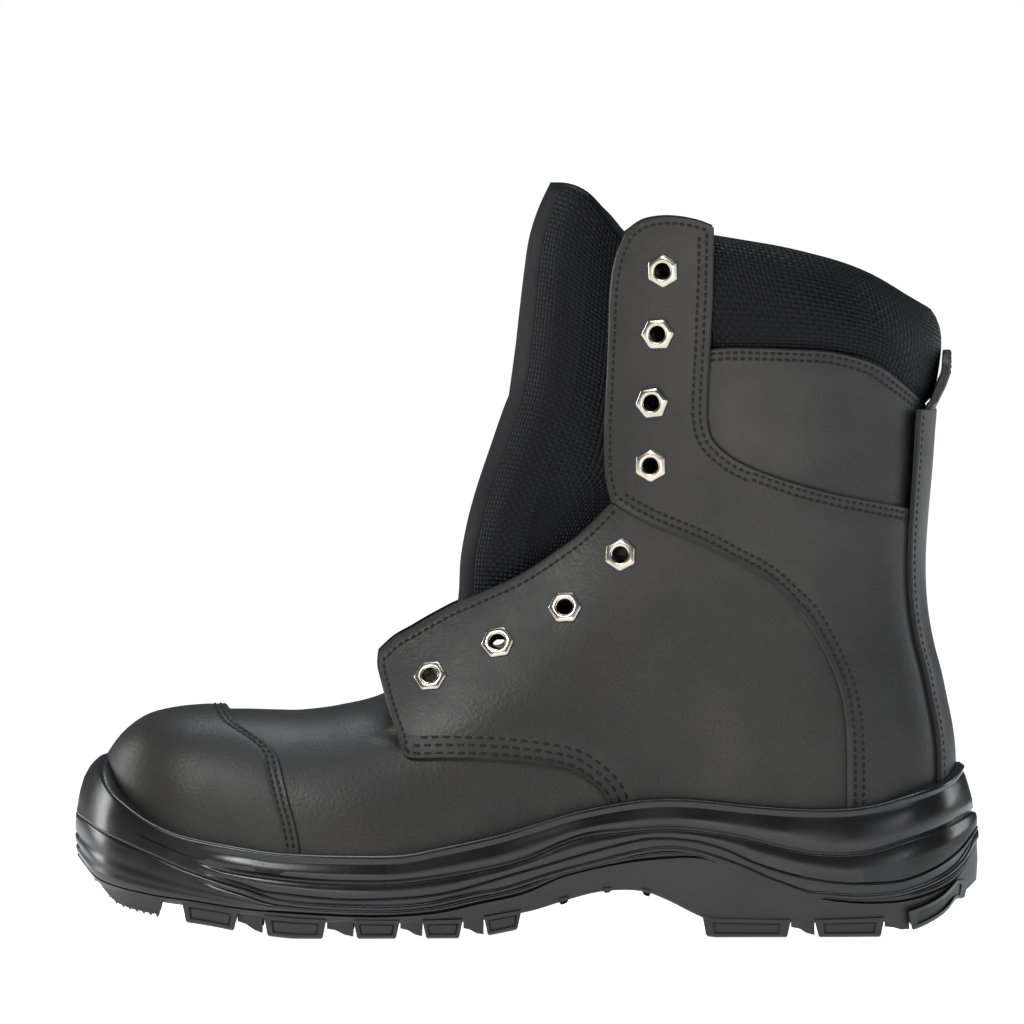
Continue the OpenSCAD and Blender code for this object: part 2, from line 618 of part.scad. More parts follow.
module backstay() {
    columns = [0, 0.08, 0.16, 0.24, 0.31] * (backstay_w / 32);
    rows = [50, 60, 70, 80, 90, 100, 110, 120, 130, 142, 154, 167, 179];
    function grid(o) = concat(
        [for (i = [4:-1:1]) [for (z = rows) leg_point(columns[i], z, -1, o)]],
        [for (i = [0:4]) [for (z = rows) leg_point(columns[i], z, 1, o)]]
    );
    color(black_leather)
        sheet(grid(backstay_out), grid(backstay_out + leather_t));
}
module heel_counter() {
    color(foam_grey)
        trim([[62, 29.4], [62, 62], [80, 76], [150, 84], [150, 30.3], [95, 30.3]], 0)
            leg_wrap(1.5, 24, 84, constant(stay_out), constant(stay_out + counter_t));
}
module leg_lining() {
    color(foam_grey)
        trim(lining_outline, 0)
            leg_wrap(2.36, 24, 216, function (z) lining_o(z), function (z) lining_o(z) + lining_t);
}

// ---- Collar: a padded roll round the top of the shaft ----
collar_from = 1.36;
collar_columns = [0, 0.12, 0.25, 0.4, 0.55, 0.7, 0.85, 1, 1.12, 1.24, collar_from];
collar_top = [[0, 214], [0.3, 218], [0.6, 226], [0.85, 231.5], [1.1, 236.5], [1.36, 242]];
shaft_top = [[0, 180], [0.3, 186], [0.6, 197], [0.85, 200.5], [1.1, 201.5], [1.36, 201.5]];
// Section of the roll as [offset, height, inward offset, inward height]; heights are measured from the
// shaft panel's edge for the first three, and down from the top for the rest
tuck_o = stay_out + 0.05;
roll_low = [[tuck_o, -12, 1, 0], [tuck_o, 1.5, 1, 0], [2.2, 6, 1, -0.3]];
roll_high = [[0.9, -22, 1, 0], [0.9, -12, 1, 0], [2, -5, 0.9, -0.5], [4.2, -1, 0.6, -0.8],
    [7, 0, 0, -1], [9.6, -1.6, -0.7, -0.7], [11.2, -6, -1, -0.2], [11.4, -14, -1, 0], [11.4, -24, -1, 0]];
collar_skin = 0.9;
collar_outline = [[62.3, 140], [62.3, 260], [160, 260], [160, 140]];
function roll_point(c, side, s, inset) =
    leg_point(c, s[1] + inset * s[3], side, s[0] + inset * s[2] + (s[0] > 6 ? collar_pad - 5 + layers_in - 6 : 0));
function roll_section(c, side, inset) =
    let (low = curve(shaft_top, c), top = curve(collar_top, c))
    concat(
        [for (s = roll_low) roll_point(c, side, [s[0], s[1] + low, s[2], s[3]], inset)],
        [for (s = roll_high) roll_point(c, side, [s[0], s[1] + top, s[2], s[3]], inset)]
    );
function both_sides(columns, section) = let (n = len(columns)) concat(
    [for (i = [n - 1:-1:1]) section(columns[i], -1)],
    [for (i = [0:n - 1]) section(columns[i], 1)]
);
module collar_cover() {
    color(black_textile)
        trim(collar_outline, 0)
            sheet(
                both_sides(collar_columns, function (c, side) roll_section(c, side, 0)),
                both_sides(collar_columns, function (c, side) roll_section(c, side, collar_skin))
            );
}
foam_gap = 0.8;
foam_foot = 154;
module collar_foam() {
    inset = collar_skin + foam_gap;
    outer = function (c, side) let (s = roll_section(c, side, inset)) concat(
        [leg_point(c, foam_foot, side, stay_out + inset)],
        [leg_point(c, foam_foot + 14, side, stay_out + inset)],
        [for (i = [0:5]) s[i]]
    );
    inner = function (c, side) let (s = roll_section(c, side, inset), o = lining_o(200) - foam_gap) concat(
        [leg_point(c, foam_foot, side, lining_o(foam_foot) - foam_gap)],
        [leg_point(c, foam_foot + 14, side, lining_o(foam_foot + 14) - foam_gap)],
        [leg_point(c, 176, side, lining_o(176) - foam_gap)],
        [leg_point(c, curve(collar_top, c) - 36, side, o)],
        [for (i = [10:-1:7]) s[i]]
    );
    color(foam_grey)
        trim(collar_outline, 0)
            sheet(both_sides(collar_columns, outer), both_sides(collar_columns, inner));
}
module pull_tab() {
    tab_t = 3.2;
    lean = [[181.8, 141.3], [188, 141.6], [194, 142.3], [181 + tab_height, 143]];
    half = backstay_w / 2 - 3;
    color(black_leather)
        intersection() {
            mirror_sheet(
                [for (p = lean) [for (y = [-half, half]) [p[1] * sx + tab_t, y, p[0] * sz]]],
                [for (p = lean) [for (y = [-half, half]) [p[1] * sx, y, p[0] * sz]]]
            );
            translate([100 * sx, 0, 181.8 * sz])
                rotate([0, 90, 0])
                    linear_extrude(100)
                        hull() {
                            translate([0, -half])
                                square([1, 2 * half]);
                            translate([-tab_height * sz + half * 0.6 + 0.8, 0])
                                scale([0.6, 1])
                                    circle(r = half);
                        }
        }
}

// ---- Tongue ----
tongue_taper = [[95, 0.55], [108, 0.65], [119, 0.75], [131, 0.87], [148, 1], [260, 1]];
tongue_rows = [0, 0.06, 0.13, 0.2, 0.28, 0.37, 0.46, 0.56, 0.66, 0.76, 0.86, 0.94, 1];
tongue_depth = 47;
// Distance from the front to the wings' rear edge at each height: they reach behind the upper eyelets
tongue_reach = [[95, 47], [136, 47], [147, 52], [158, 66.5], [182, 60], [206, 56], [228, 53], [258, 49]];
tongue_depths = [0, 1, 3, 6.5, 12, 19, 27, 36, tongue_depth];
tongue_bottom = 101;
function tongue_top(d) = 258 - 0.012 * (d - 5) ^ 2 * (d < 5 ? 8 : 1) - (d < 5 ? 0 : 0.12 * (d - 5));
function tongue_surface(d, v, side, o) =
    let (z = tongue_bottom + v * (tongue_top(d) - tongue_bottom), fit = curve(tongue_taper, z))
    let (
        r = tongue_round,
        near = clamp(1 - d / (r - o), 0, 1),
        wing = max(d - r, 0) * (curve(tongue_reach, z) - r) / (tongue_depth - r),
        front = curve(tongue_front, z) * sx + o
    )
    [front + (min(d, r) + wing) * sx, side * (tongue_w * fit * sy - o) * (1 - near ^ tongue_power) ^ (1 / tongue_power), z * sz];
function tongue_grid(o, v0, v1, d_max) = both_sides(
    within(tongue_depths, -1, d_max),
    function (d, side) [for (v = tongue_rows) tongue_surface(d, v0 + v * (v1 - v0), side, o)]
);
skin_t = 1;
skin_gap = 0.2;
module tongue_cover() {
    color(black_textile)
        mirror_sheet(tongue_grid(0, 0, 1, 50), tongue_grid(skin_t, 0, 1, 50));
}
module tongue_foam() {
    color(foam_grey)
        mirror_sheet(
            tongue_grid(skin_t + skin_gap, 0.04, 0.97, 36.5),
            tongue_grid(skin_t + skin_gap + tongue_pad, 0.04, 0.97, 36.5)
        );
}
module tongue_lining() {
    inner = skin_t + 2 * skin_gap + tongue_pad;
    color(black_textile)
        mirror_sheet(tongue_grid(inner, 0, 0.99, 50), tongue_grid(inner + skin_t, 0, 0.99, 50));
}
// A fold of cloth between the tongue's flank and the quarter
module gusset(side) {
    rows = [110, 120, 130, 140, 147];
    gusset_t = 0.8;
    edge_gap = 4;
    fold_depth = 16;
    // The two edges part by the cloth's thickness, and the fold's inside lies deeper than its outside
    function fold(z, inside) =
        let (
            x = curve(tongue_front, z) + tongue_depth + edge_gap,
            y = tongue_w * curve(tongue_taper, z),
            wall = leg_half(x + 8, z, side) / sy - lining_out - lining_t - 1.4
        )
        [
            [x * sx, side * (y * sy + inside * gusset_t), z * sz],
            [(x + fold_depth) * sx - 3 * inside * gusset_t, side * (y + wall) / 2 * sy, z * sz],
            [(x + 6) * sx, side * (wall * sy - inside * gusset_t), z * sz]
        ];
    outer = [for (z = rows) fold(z, 0)];
    inner = [for (z = rows) fold(z, 1)];
    color(black_textile)
        if (side < 0)
            sheet(outer, inner);
        else
            mirror_sheet(outer, inner);
}

// ---- Nodes ----
module eyelets(places, side, o, stack) {
    color(nickel)
        at_eyelets(places, side, o)
            eyelet(stack);
}
module washers(places, side, o, stack) {
    color(steel)
        at_eyelets(places, side, o)
            washer(stack);
}

outsole();
midsole();
shank();
penetration_plate();
insole_board();
toe_cap();
toe_cap_edge_strip();
heel_counter();
vamp();
toe_overlay();
quarter(-1);  // quarter_lateral
quarter(1);  // quarter_medial
rear_panel(-1);  // rear_panel_lateral
rear_panel(1);  // rear_panel_medial
shaft_panel(-1);  // shaft_panel_lateral
shaft_panel(1);  // shaft_panel_medial
backstay();
collar_cover();
collar_foam();
leg_lining();
vamp_lining();
eyelet_stay(-1);  // eyelet_stay_lateral
eyelet_stay(1);  // eyelet_stay_medial
eyelets(lower_eyelet_places, -1, quarter_out, lower_stack);  // lower_eyelets_lateral
eyelets(lower_eyelet_places, 1, quarter_out, lower_stack);  // lower_eyelets_medial
washers(lower_eyelet_places, -1, quarter_out, lower_stack);  // lower_washers_lateral
washers(lower_eyelet_places, 1, quarter_out, lower_stack);  // lower_washers_medial
facing(-1);  // facing_lateral
facing(1);  // facing_medial
facing_stay(-1);  // facing_stay_lateral
facing_stay(1);  // facing_stay_medial
facing_lining(-1);  // facing_lining_lateral
facing_lining(1);  // facing_lining_medial
eyelets(upper_eyelet_places, -1, rear_out, upper_stack);  // upper_eyelets_lateral
eyelets(upper_eyelet_places, 1, rear_out, upper_stack);  // upper_eyelets_medial
washers(upper_eyelet_places, -1, rear_out, upper_stack);  // upper_washers_lateral
washers(upper_eyelet_places, 1, rear_out, upper_stack);  // upper_washers_medial
tongue_cover();
tongue_foam();
tongue_lining();
gusset(-1);  // gusset_lateral
gusset(1);  // gusset_medial
footbed();
footbed_cover();
pull_tab();
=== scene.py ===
"""Laced fire boot, left foot: the finished surfaces, seams, padding, sole and light."""
import json
import math

import bpy
import numpy as np
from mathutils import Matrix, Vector, geometry


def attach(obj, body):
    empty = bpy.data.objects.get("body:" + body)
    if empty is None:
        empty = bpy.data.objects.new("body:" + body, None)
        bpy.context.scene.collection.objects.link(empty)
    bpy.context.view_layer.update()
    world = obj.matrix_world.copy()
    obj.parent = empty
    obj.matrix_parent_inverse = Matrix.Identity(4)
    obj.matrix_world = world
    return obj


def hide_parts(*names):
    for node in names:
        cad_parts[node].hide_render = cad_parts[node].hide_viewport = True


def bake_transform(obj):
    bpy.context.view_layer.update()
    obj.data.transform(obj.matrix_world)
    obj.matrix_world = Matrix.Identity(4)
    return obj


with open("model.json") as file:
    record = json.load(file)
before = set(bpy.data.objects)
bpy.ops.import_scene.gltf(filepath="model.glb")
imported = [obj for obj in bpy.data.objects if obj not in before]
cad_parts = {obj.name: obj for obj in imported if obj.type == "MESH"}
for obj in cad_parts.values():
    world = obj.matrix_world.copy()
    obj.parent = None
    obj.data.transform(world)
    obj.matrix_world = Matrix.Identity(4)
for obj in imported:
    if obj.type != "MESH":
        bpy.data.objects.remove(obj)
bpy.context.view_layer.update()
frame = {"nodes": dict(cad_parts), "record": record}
nodes = frame["nodes"]
MM = 0.001

# ---------------------------------------------------------------- camera, light and floor
scene = bpy.context.scene
CAMERA_REACH = 9.7
PICTURE_MIDDLE = Vector((-0.0051, -0.045, 0.1454))
TILT = math.radians(1.2)
camera_data = bpy.data.cameras.new("camera")
camera = bpy.data.objects.new("camera", camera_data)
scene.collection.objects.link(camera)
scene.camera = camera
camera_data.lens = 1000
camera_data.sensor_width = 36
camera_data.clip_end = 100
camera.location = PICTURE_MIDDLE + Vector((0, -math.cos(TILT), math.sin(TILT))) * CAMERA_REACH
camera.rotation_euler = (math.pi / 2 - TILT, 0, 0)


def area_light(name, place, aim, size, power, colour=(1, 1, 1)):
    data = bpy.data.lights.new(name, "AREA")
    data.shape = "RECTANGLE"
    data.size, data.size_y = size
    data.energy = power
    data.color = colour
    lamp = bpy.data.objects.new(name, data)
    scene.collection.objects.link(lamp)
    lamp.location = place
    lamp.rotation_euler = (Vector(aim) - Vector(place)).to_track_quat("-Z", "Y").to_euler()
    return lamp


area_light("key", (-0.7, -1.5, 1.3), (0, 0, 0.1), (0.5, 0.4), 17)
area_light("fill", (1.5, -1.5, 0.5), (0, 0, 0.12), (0.5, 0.5), 3.5, (0.8, 0.88, 1.0))
area_light("low_front", (-0.2, -1.6, 0.12), (0, 0, 0.06), (1.0, 0.16), 3, (1.0, 0.97, 0.93))
area_light("top", (0.1, 0.15, 1.4), (0, 0, 0.1), (0.9, 0.5), 10, (0.85, 0.91, 1.0))
area_light("toe_side", (-1.5, 0.5, 0.5), (0, 0, 0.08), (0.4, 0.9), 11)
area_light("heel_side", (1.5, 0.5, 0.6), (0, 0, 0.12), (0.4, 0.9), 6, (0.9, 0.94, 1.0))

world = bpy.data.worlds.new("studio")
scene.world = world
world.use_nodes = True
sky = world.node_tree.nodes["Background"]
sky.inputs["Color"].default_value = (0.94, 0.97, 1, 1)
sky.inputs["Strength"].default_value = 0.1
# The sky itself reads plain white, whatever light it gives
plain = world.node_tree.nodes.new("ShaderNodeBackground")
plain.inputs["Color"].default_value = (1, 1, 1, 1)
rays = world.node_tree.nodes.new("ShaderNodeLightPath")
choose = world.node_tree.nodes.new("ShaderNodeMixShader")
world.node_tree.links.new(rays.outputs["Is Camera Ray"], choose.inputs[0])
world.node_tree.links.new(sky.outputs[0], choose.inputs[1])
world.node_tree.links.new(plain.outputs[0], choose.inputs[2])
world.node_tree.links.new(choose.outputs[0], world.node_tree.nodes["World Output"].inputs["Surface"])
scene.view_settings.view_transform = "Standard"


bpy.ops.mesh.primitive_circle_add(vertices=96, radius=45, fill_type="NGON", location=(0, 0, -0.0005))
floor = bpy.context.object
floor.name = "pale_floor"
floor.visible_diffuse = False

# ---------------------------------------------------------------- shader helpers
def add(tree, kind, values=None, **settings):
    """A node with its settings; values links outputs or sets constants by input name or number."""
    node = tree.nodes.new(kind)
    for key, value in settings.items():
        setattr(node, key, value)
    for key, value in (values or {}).items():
        if isinstance(value, bpy.types.NodeSocket):
            tree.links.new(value, node.inputs[key])
        else:
            node.inputs[key].default_value = value
    return node


def sums(tree, operation, *values):
    node = add(tree, "ShaderNodeMath", operation=operation)
    for i, value in enumerate(values):
        if isinstance(value, bpy.types.NodeSocket):
            tree.links.new(value, node.inputs[i])
        else:
            node.inputs[i].default_value = value
    return node.outputs[0]


def ramp(tree, value, low, high, out_low=0.0, out_high=1.0):
    node = add(tree, "ShaderNodeMapRange", {0: value, 1: low, 2: high, 3: out_low, 4: out_high})
    return node.outputs[0]


def new_group(name, inputs, outputs):
    group = bpy.data.node_groups.new(name, "ShaderNodeTree")
    for title, kind, value in inputs:
        group.interface.new_socket(title, in_out="INPUT", socket_type=kind).default_value = value
    for title, kind in outputs:
        group.interface.new_socket(title, in_out="OUTPUT", socket_type=kind)
    return group, group.nodes.new("NodeGroupInput"), group.nodes.new("NodeGroupOutput")


FLOAT = "NodeSocketFloat"


def leather_effect():
    """Fine grain, broad waxy patches, a painted shade along the panel edges and the pressed lines along the
    seams; heights in millimetres.
    """
    group, start, end = new_group(
        "leather_effect",
        [("Grain", FLOAT, 1.0), ("Groove", FLOAT, 9.0), ("Rim", FLOAT, 9.0)],
        [("Shade", FLOAT), ("Roughness", FLOAT), ("Height", FLOAT)],
    )
    place = add(group, "ShaderNodeTexCoord").outputs["Object"]
    pores = add(group, "ShaderNodeTexVoronoi", {"Vector": place, "Scale": 900.0}, feature="SMOOTH_F1")
    folds = add(group, "ShaderNodeTexNoise", {"Vector": place, "Scale": 1100.0, "Detail": 3.0})
    patches = add(
        group, "ShaderNodeTexNoise", {"Vector": place, "Scale": 26.0, "Detail": 4.0, "Roughness": 0.6}
    )
    groove = ramp(group, start.outputs["Groove"], 0.05, 0.5, 1.0, 0.0)
    rim = ramp(group, start.outputs["Rim"], 0.05, 0.6, 1.0, 0.0)
    shade = ramp(group, patches.outputs["Fac"], 0.3, 0.7, 0.6, 1.35)
    # Painted shade: the colour darkens by up to 0.3 within 0.6 mm of each panel's edge
    shade = sums(group, "SUBTRACT", shade, sums(group, "MULTIPLY", rim, 0.3))
    rough = ramp(group, patches.outputs["Fac"], 0.3, 0.7, 0.56, 0.4)
    rough = sums(group, "ADD", rough, sums(group, "MULTIPLY", groove, 0.06))
    grain = sums(
        group, "ADD", sums(group, "MULTIPLY", pores.outputs["Distance"], 0.07),
        sums(group, "MULTIPLY", folds.outputs["Fac"], 0.05)
    )
    height = sums(
        group, "SUBTRACT", sums(group, "MULTIPLY", grain, start.outputs["Grain"]),
        sums(group, "MULTIPLY", groove, 0.08)
    )
    group.links.new(shade, end.inputs["Shade"])
    group.links.new(rough, end.inputs["Roughness"])
    group.links.new(height, end.inputs["Height"])
    return group


def weave_effect():
    """Plain weave of thick flat yarns, from the cloth's own length and width in millimetres."""
    group, start, end = new_group(
        "weave_effect", [("Pitch", FLOAT, 1.5)], [("Height", FLOAT), ("Over", FLOAT), ("Gap", FLOAT)]
    )
    cloth = add(group, "ShaderNodeUVMap", uv_map="cloth")
    parts = add(group, "ShaderNodeSeparateXYZ", {0: cloth.outputs[0]})
    # The map holds centimetres
    across = sums(group, "DIVIDE", sums(group, "MULTIPLY", parts.outputs[0], 10.0), start.outputs["Pitch"])
    along = sums(group, "DIVIDE", sums(group, "MULTIPLY", parts.outputs[1], 10.0), start.outputs["Pitch"])
    checker = sums(
        group, "MODULO", sums(group, "ADD", sums(group, "FLOOR", across), sums(group, "FLOOR", along)),
        2.0
    )
    checker = sums(group, "ABSOLUTE", checker)
    swell_a = sums(group, "ABSOLUTE", sums(group, "SINE", sums(group, "MULTIPLY", across, math.pi)))
    swell_b = sums(group, "ABSOLUTE", sums(group, "SINE", sums(group, "MULTIPLY", along, math.pi)))
    over = sums(
        group, "MULTIPLY", checker, sums(group, "MULTIPLY", sums(group, "POWER", swell_a, 0.6), swell_b)
    )
    flat = sums(group, "SUBTRACT", 1.0, checker)
    under = sums(
        group, "MULTIPLY", flat, sums(group, "MULTIPLY", sums(group, "POWER", swell_b, 0.6), swell_a)
    )
    height = sums(group, "ADD", over, under)
    group.links.new(sums(group, "MULTIPLY", height, 0.3), end.inputs["Height"])
    group.links.new(checker, end.inputs["Over"])
    group.links.new(ramp(group, height, 0.0, 0.35, 1.0, 0.0), end.inputs["Gap"])
    return group


def moulded_effect():
    """Slight waviness and dull patches of a moulded surface."""
    group, start, end = new_group(
        "moulded_effect", [("Dull", FLOAT, 0.3)], [("Shade", FLOAT), ("Roughness", FLOAT), ("Height", FLOAT)]
    )
    place = add(group, "ShaderNodeTexCoord").outputs["Object"]
    broad = add(group, "ShaderNodeTexNoise", {"Vector": place, "Scale": 38.0, "Detail": 3.0})
    fine = add(group, "ShaderNodeTexNoise", {"Vector": place, "Scale": 700.0, "Detail": 2.0})
    group.links.new(ramp(group, broad.outputs["Fac"], 0.3, 0.7, 0.8, 1.15), end.inputs["Shade"])
    rough = sums(
        group, "ADD", start.outputs["Dull"], ramp(group, broad.outputs["Fac"], 0.3, 0.7, -0.07, 0.09)
    )
    group.links.new(rough, end.inputs["Roughness"])
    height = sums(
        group, "ADD", sums(group, "MULTIPLY", fine.outputs["Fac"], 0.03),
        sums(group, "MULTIPLY", broad.outputs["Fac"], 0.35)
    )
    group.links.new(height, end.inputs["Height"])
    return group


LEATHER_EFFECT, WEAVE_EFFECT, MOULDED_EFFECT = leather_effect(), weave_effect(), moulded_effect()


def new_material(name, colour, rough):
    material = bpy.data.materials.new(name)
    material.use_nodes = True
    tree = material.node_tree
    shader = tree.nodes["Principled BSDF"]
    shader.inputs["Base Color"].default_value = (*colour, 1)
    shader.inputs["Roughness"].default_value = rough
    material.diffuse_color = (*colour, 1)
    return material, tree, shader


def shaded(tree, colour, shade):
    node = add(tree, "ShaderNodeMix", data_type="RGBA", blend_type="MULTIPLY")
    node.inputs["Factor"].default_value = 1.0
    node.inputs[6].default_value = (*colour, 1)
    grey = add(tree, "ShaderNodeCombineColor", {0: shade, 1: shade, 2: shade})
    tree.links.new(grey.outputs[0], node.inputs[7])
    return node.outputs[2]


def bumped(tree, shader, height, strength=1.0):
    bump = add(tree, "ShaderNodeBump", {"Height": height, "Distance": MM, "Strength": strength})
    tree.links.new(bump.outputs[0], shader.inputs["Normal"])


def leather(name, colour, grain=1.0, seams=True):
    material, tree, shader = new_material(name, colour, 0.45)
    effect = add(tree, "ShaderNodeGroup", node_tree=LEATHER_EFFECT)
    effect.inputs["Grain"].default_value = grain
    if seams:
        for socket, attribute in (("Groove", "groove"), ("Rim", "rim")):
            read = add(tree, "ShaderNodeAttribute", attribute_name=attribute)
            tree.links.new(read.outputs["Fac"], effect.inputs[socket])
    tree.links.new(shaded(tree, colour, effect.outputs["Shade"]), shader.inputs["Base Color"])
    tree.links.new(effect.outputs["Roughness"], shader.inputs["Roughness"])
    bumped(tree, shader, effect.outputs["Height"])
    shader.inputs["Specular IOR Level"].default_value = 0.5
    return material


def cloth_material(name, colour, pitch, rough):
    material, tree, shader = new_material(name, colour, rough)
    effect = add(tree, "ShaderNodeGroup", node_tree=WEAVE_EFFECT)
    effect.inputs["Pitch"].default_value = pitch
    # Painted light: the yarns lying on top get a lighter colour as a painted highlight, and the gaps between
    # yarns a darker one as painted shade
    shade = sums(
        tree, "SUBTRACT", ramp(tree, effect.outputs["Over"], 0.0, 1.0, 0.8, 1.25),
        sums(tree, "MULTIPLY", effect.outputs["Gap"], 0.6)
    )
    tree.links.new(shaded(tree, colour, shade), shader.inputs["Base Color"])
    tree.links.new(
        ramp(tree, effect.outputs["Over"], 0.0, 1.0, rough, rough - 0.14), shader.inputs["Roughness"]
    )
    shader.inputs["Specular IOR Level"].default_value = 0.16
    bumped(tree, shader, effect.outputs["Height"])
    return material


def moulded(name, colour, dull):
    material, tree, shader = new_material(name, colour, dull)
    effect = add(tree, "ShaderNodeGroup", node_tree=MOULDED_EFFECT)
    effect.inputs["Dull"].default_value = dull
    tree.links.new(shaded(tree, colour, effect.outputs["Shade"]), shader.inputs["Base Color"])
    tree.links.new(effect.outputs["Roughness"], shader.inputs["Roughness"])
    bumped(tree, shader, effect.outputs["Height"], 0.6)
    return material


LEATHER = leather("black_leather", (0.021, 0.0195, 0.018))
SMOOTH_LEATHER = leather("black_edge_leather", (0.016, 0.0155, 0.016), 0.6, False)
TEXTILE = cloth_material("ballistic_textile", (0.0035, 0.0036, 0.0055), 1.5, 0.55)
LINING = cloth_material("lining_textile", (0.03, 0.03, 0.033), 0.9, 0.85)
MIDSOLE = moulded("moulded_midsole", (0.013, 0.0122, 0.0125), 0.27)
RUBBER = moulded("rubber_tread", (0.016, 0.0155, 0.015), 0.45)
NICKEL = moulded("nickel", (0.5, 0.45, 0.38), 0.24)
NICKEL.node_tree.nodes["Principled BSDF"].inputs["Metallic"].default_value = 1.0
STEEL = moulded("steel", (0.5, 0.51, 0.53), 0.32)
STEEL.node_tree.nodes["Principled BSDF"].inputs["Metallic"].default_value = 1.0
FOAM = moulded("foam", (0.12, 0.12, 0.125), 0.9)
FIBRE = moulded("fibre_board", (0.3, 0.25, 0.18), 0.85)
BINDING = moulded("tongue_strip", (0.006, 0.006, 0.007), 0.62)
BINDING.node_tree.nodes["Principled BSDF"].inputs["Specular IOR Level"].default_value = 0.15
THREAD = moulded("thread", (0.001, 0.001, 0.0012), 0.75)
PALE = moulded("pale_floor", (0.8, 0.8, 0.8), 0.8)
pale_shader = PALE.node_tree.nodes["Principled BSDF"]
pale_shader.inputs["Emission Color"].default_value = (1, 1, 1, 1)
pale_shader.inputs["Emission Strength"].default_value = 1.0
floor.data.materials.append(PALE)

# ---------------------------------------------------------------- the boot's own curves, in millimetres
LAST_HALF = 147.0
ROUND = 60.0
ROUND_POWER = 0.91


def step01(v):
    t = np.clip(v, 0, 1)
    return t * t * (3 - 2 * t)


def curve_rows(places, rows, v):
    """Smooth values at v; rows holds one row of values for each place."""
    x = np.asarray(places, float)
    v = np.asarray(v, float)
    count = np.arange(len(x))
    before, after = np.maximum(count - 1, 0), np.minimum(count + 1, len(x) - 1)
    slopes = (rows[after] - rows[before]) / (x[after] - x[before])[:, None]
    i = np.clip(np.searchsorted(x, v, side="right") - 1, 0, len(x) - 2)
    j = np.arange(rows.shape[1]) if rows.shape[1] > 1 else np.zeros(len(v), int)
    w = x[i + 1] - x[i]
    t = np.clip((v - x[i]) / w, 0, 1)
    m0, m1 = slopes[i, j] * w, slopes[i + 1, j] * w
    return ((2 * t**3 - 3 * t**2 + 1) * rows[i, j] + (t**3 - 2 * t**2 + t) * m0
            + (3 * t**2 - 2 * t**3) * rows[i + 1, j] + (t**3 - t**2) * m1)


def curve(points, v):
    p = np.asarray(points, float)
    v = np.asarray(v, float)
    return curve_rows(p[:, 0], p[:, 1:2], v.ravel()).reshape(v.shape)


def station(x):
    return np.arccos(np.clip(-np.asarray(x, float) / LAST_HALF, -1, 1)) / math.pi


def station_x(t):
    return -LAST_HALF * np.cos(math.pi * t)


def by_station(points):
    return [(float(station(x)), v) for x, v in points]


PLAN_OUTER = by_station([(-147, 0), (-140, 24), (-125, 37.4), (-105, 44), (-80, 48.2), (-55, 48.6),
                         (-20, 43.8), (10, 39.6), (50, 35.5), (80, 34), (110, 31.5), (130, 24.5),
                         (143, 11.5), (147, 0)])
PLAN_INNER = by_station([(-147, 0), (-140, 25), (-125, 39), (-105, 45.4), (-80, 48.4), (-55, 46.6),
                         (-20, 41), (10, 36), (50, 32.8), (80, 32.5), (110, 31), (130, 24.5),
                         (143, 11.5), (147, 0)])
FLOOR = by_station([(-147, 33), (-140, 29), (-125, 23), (-100, 18.5), (-70, 16), (-40, 17), (0, 22),
                    (50, 28.5), (100, 30), (147, 30)])
RIDGE = by_station([(-147, 52), (-143.5, 62.3), (-138, 69.5), (-130, 75.2), (-120, 77.8),
                    (-109, 78.8), (-97, 79), (-85, 78.7), (-77, 78.7), (-64, 80.4), (-49, 84.4),
                    (-36, 93), (-24, 106), (-8, 124)])
FULLNESS = by_station([(-147, 2.7), (-110, 2.7), (-80, 2.5), (-40, 2.35), (0, 2.3)])
BREADTH_X = [-50, -20, 10, 40, 75, 110]
BREADTH_Z = [20, 45, 70, 100, 130, 160, 200, 245]
BREADTHS = np.array([
    [50.2, 45.8, 41.6, 38, 35.5, 33],
    [47.8, 45, 41.3, 37.5, 35, 33],
    [37.6, 41.2, 39.8, 36.5, 34.5, 32.5],
    [21, 29.5, 34.5, 35, 33.8, 31.5],
    [8, 16, 26, 33, 34, 32],
    [4, 10, 19, 31.2, 35.5, 35],
    [4, 10, 19.5, 32.6, 39, 40],
    [4, 10, 20, 34.5, 42, 43],
])
BACK = [(15, 145), (61, 145), (71, 144), (80, 142.2), (90, 140.1), (99, 137.7), (109, 135.8),
        (118, 134.9), (128, 134.7), (140, 135.3), (161, 137.1), (180, 138.6), (195, 141),
        (204, 142), (212, 141), (230, 137), (245, 134)]
BACK_DEPTH = [(15, 44), (60, 44), (120, 42), (180, 50), (245, 54)]
MEDIAL_SHIFT = [(-50, 1.8), (-20, 2.8), (10, 3.6), (40, 2.6), (75, 1.3), (110, 0.5)]


def plan(t, side):
    return np.where(np.asarray(side) < 0, curve(PLAN_OUTER, t), curve(PLAN_INNER, t))


def plan_normal(t, side):
    e = 0.004
    a, b = np.clip(t - e, 0, 1), np.clip(t + e, 0, 1)
    dx = station_x(b) - station_x(a)
    dy = plan(b, side) - plan(a, side)
    n = np.maximum(np.hypot(dx, dy), 1e-9)
    nx = np.where(t < e, -1.0, np.where(t > 1 - e, 1.0, -dy / n))
    ny = np.where((t < e) | (t > 1 - e), 0.0, dx / n)
    return nx, ny


def plan_point(t, side, off):
    nx, ny = plan_normal(t, side)
    return station_x(t) + nx * off, side * (plan(t, side) + ny * off)


def breadth(x, z, side):
    """Half breadth of the leg form; the inner side is narrower near the ground."""
    cx, cz = np.clip(x, -50, 110), np.clip(z, 20, 245)
    shape = cx.shape
    cx, cz = cx.ravel(), cz.ravel()
    rows = np.array([curve(np.column_stack([BREADTH_X, row]), cx) for row in BREADTHS])
    half = curve_rows(BREADTH_Z, rows, cz)
    shift = curve(MEDIAL_SHIFT, cx) * (1 - step01((cz - 30) / 80))
    side = np.broadcast_to(side, shape).ravel()
    return (half - np.where(side > 0, shift, 0)).reshape(shape)


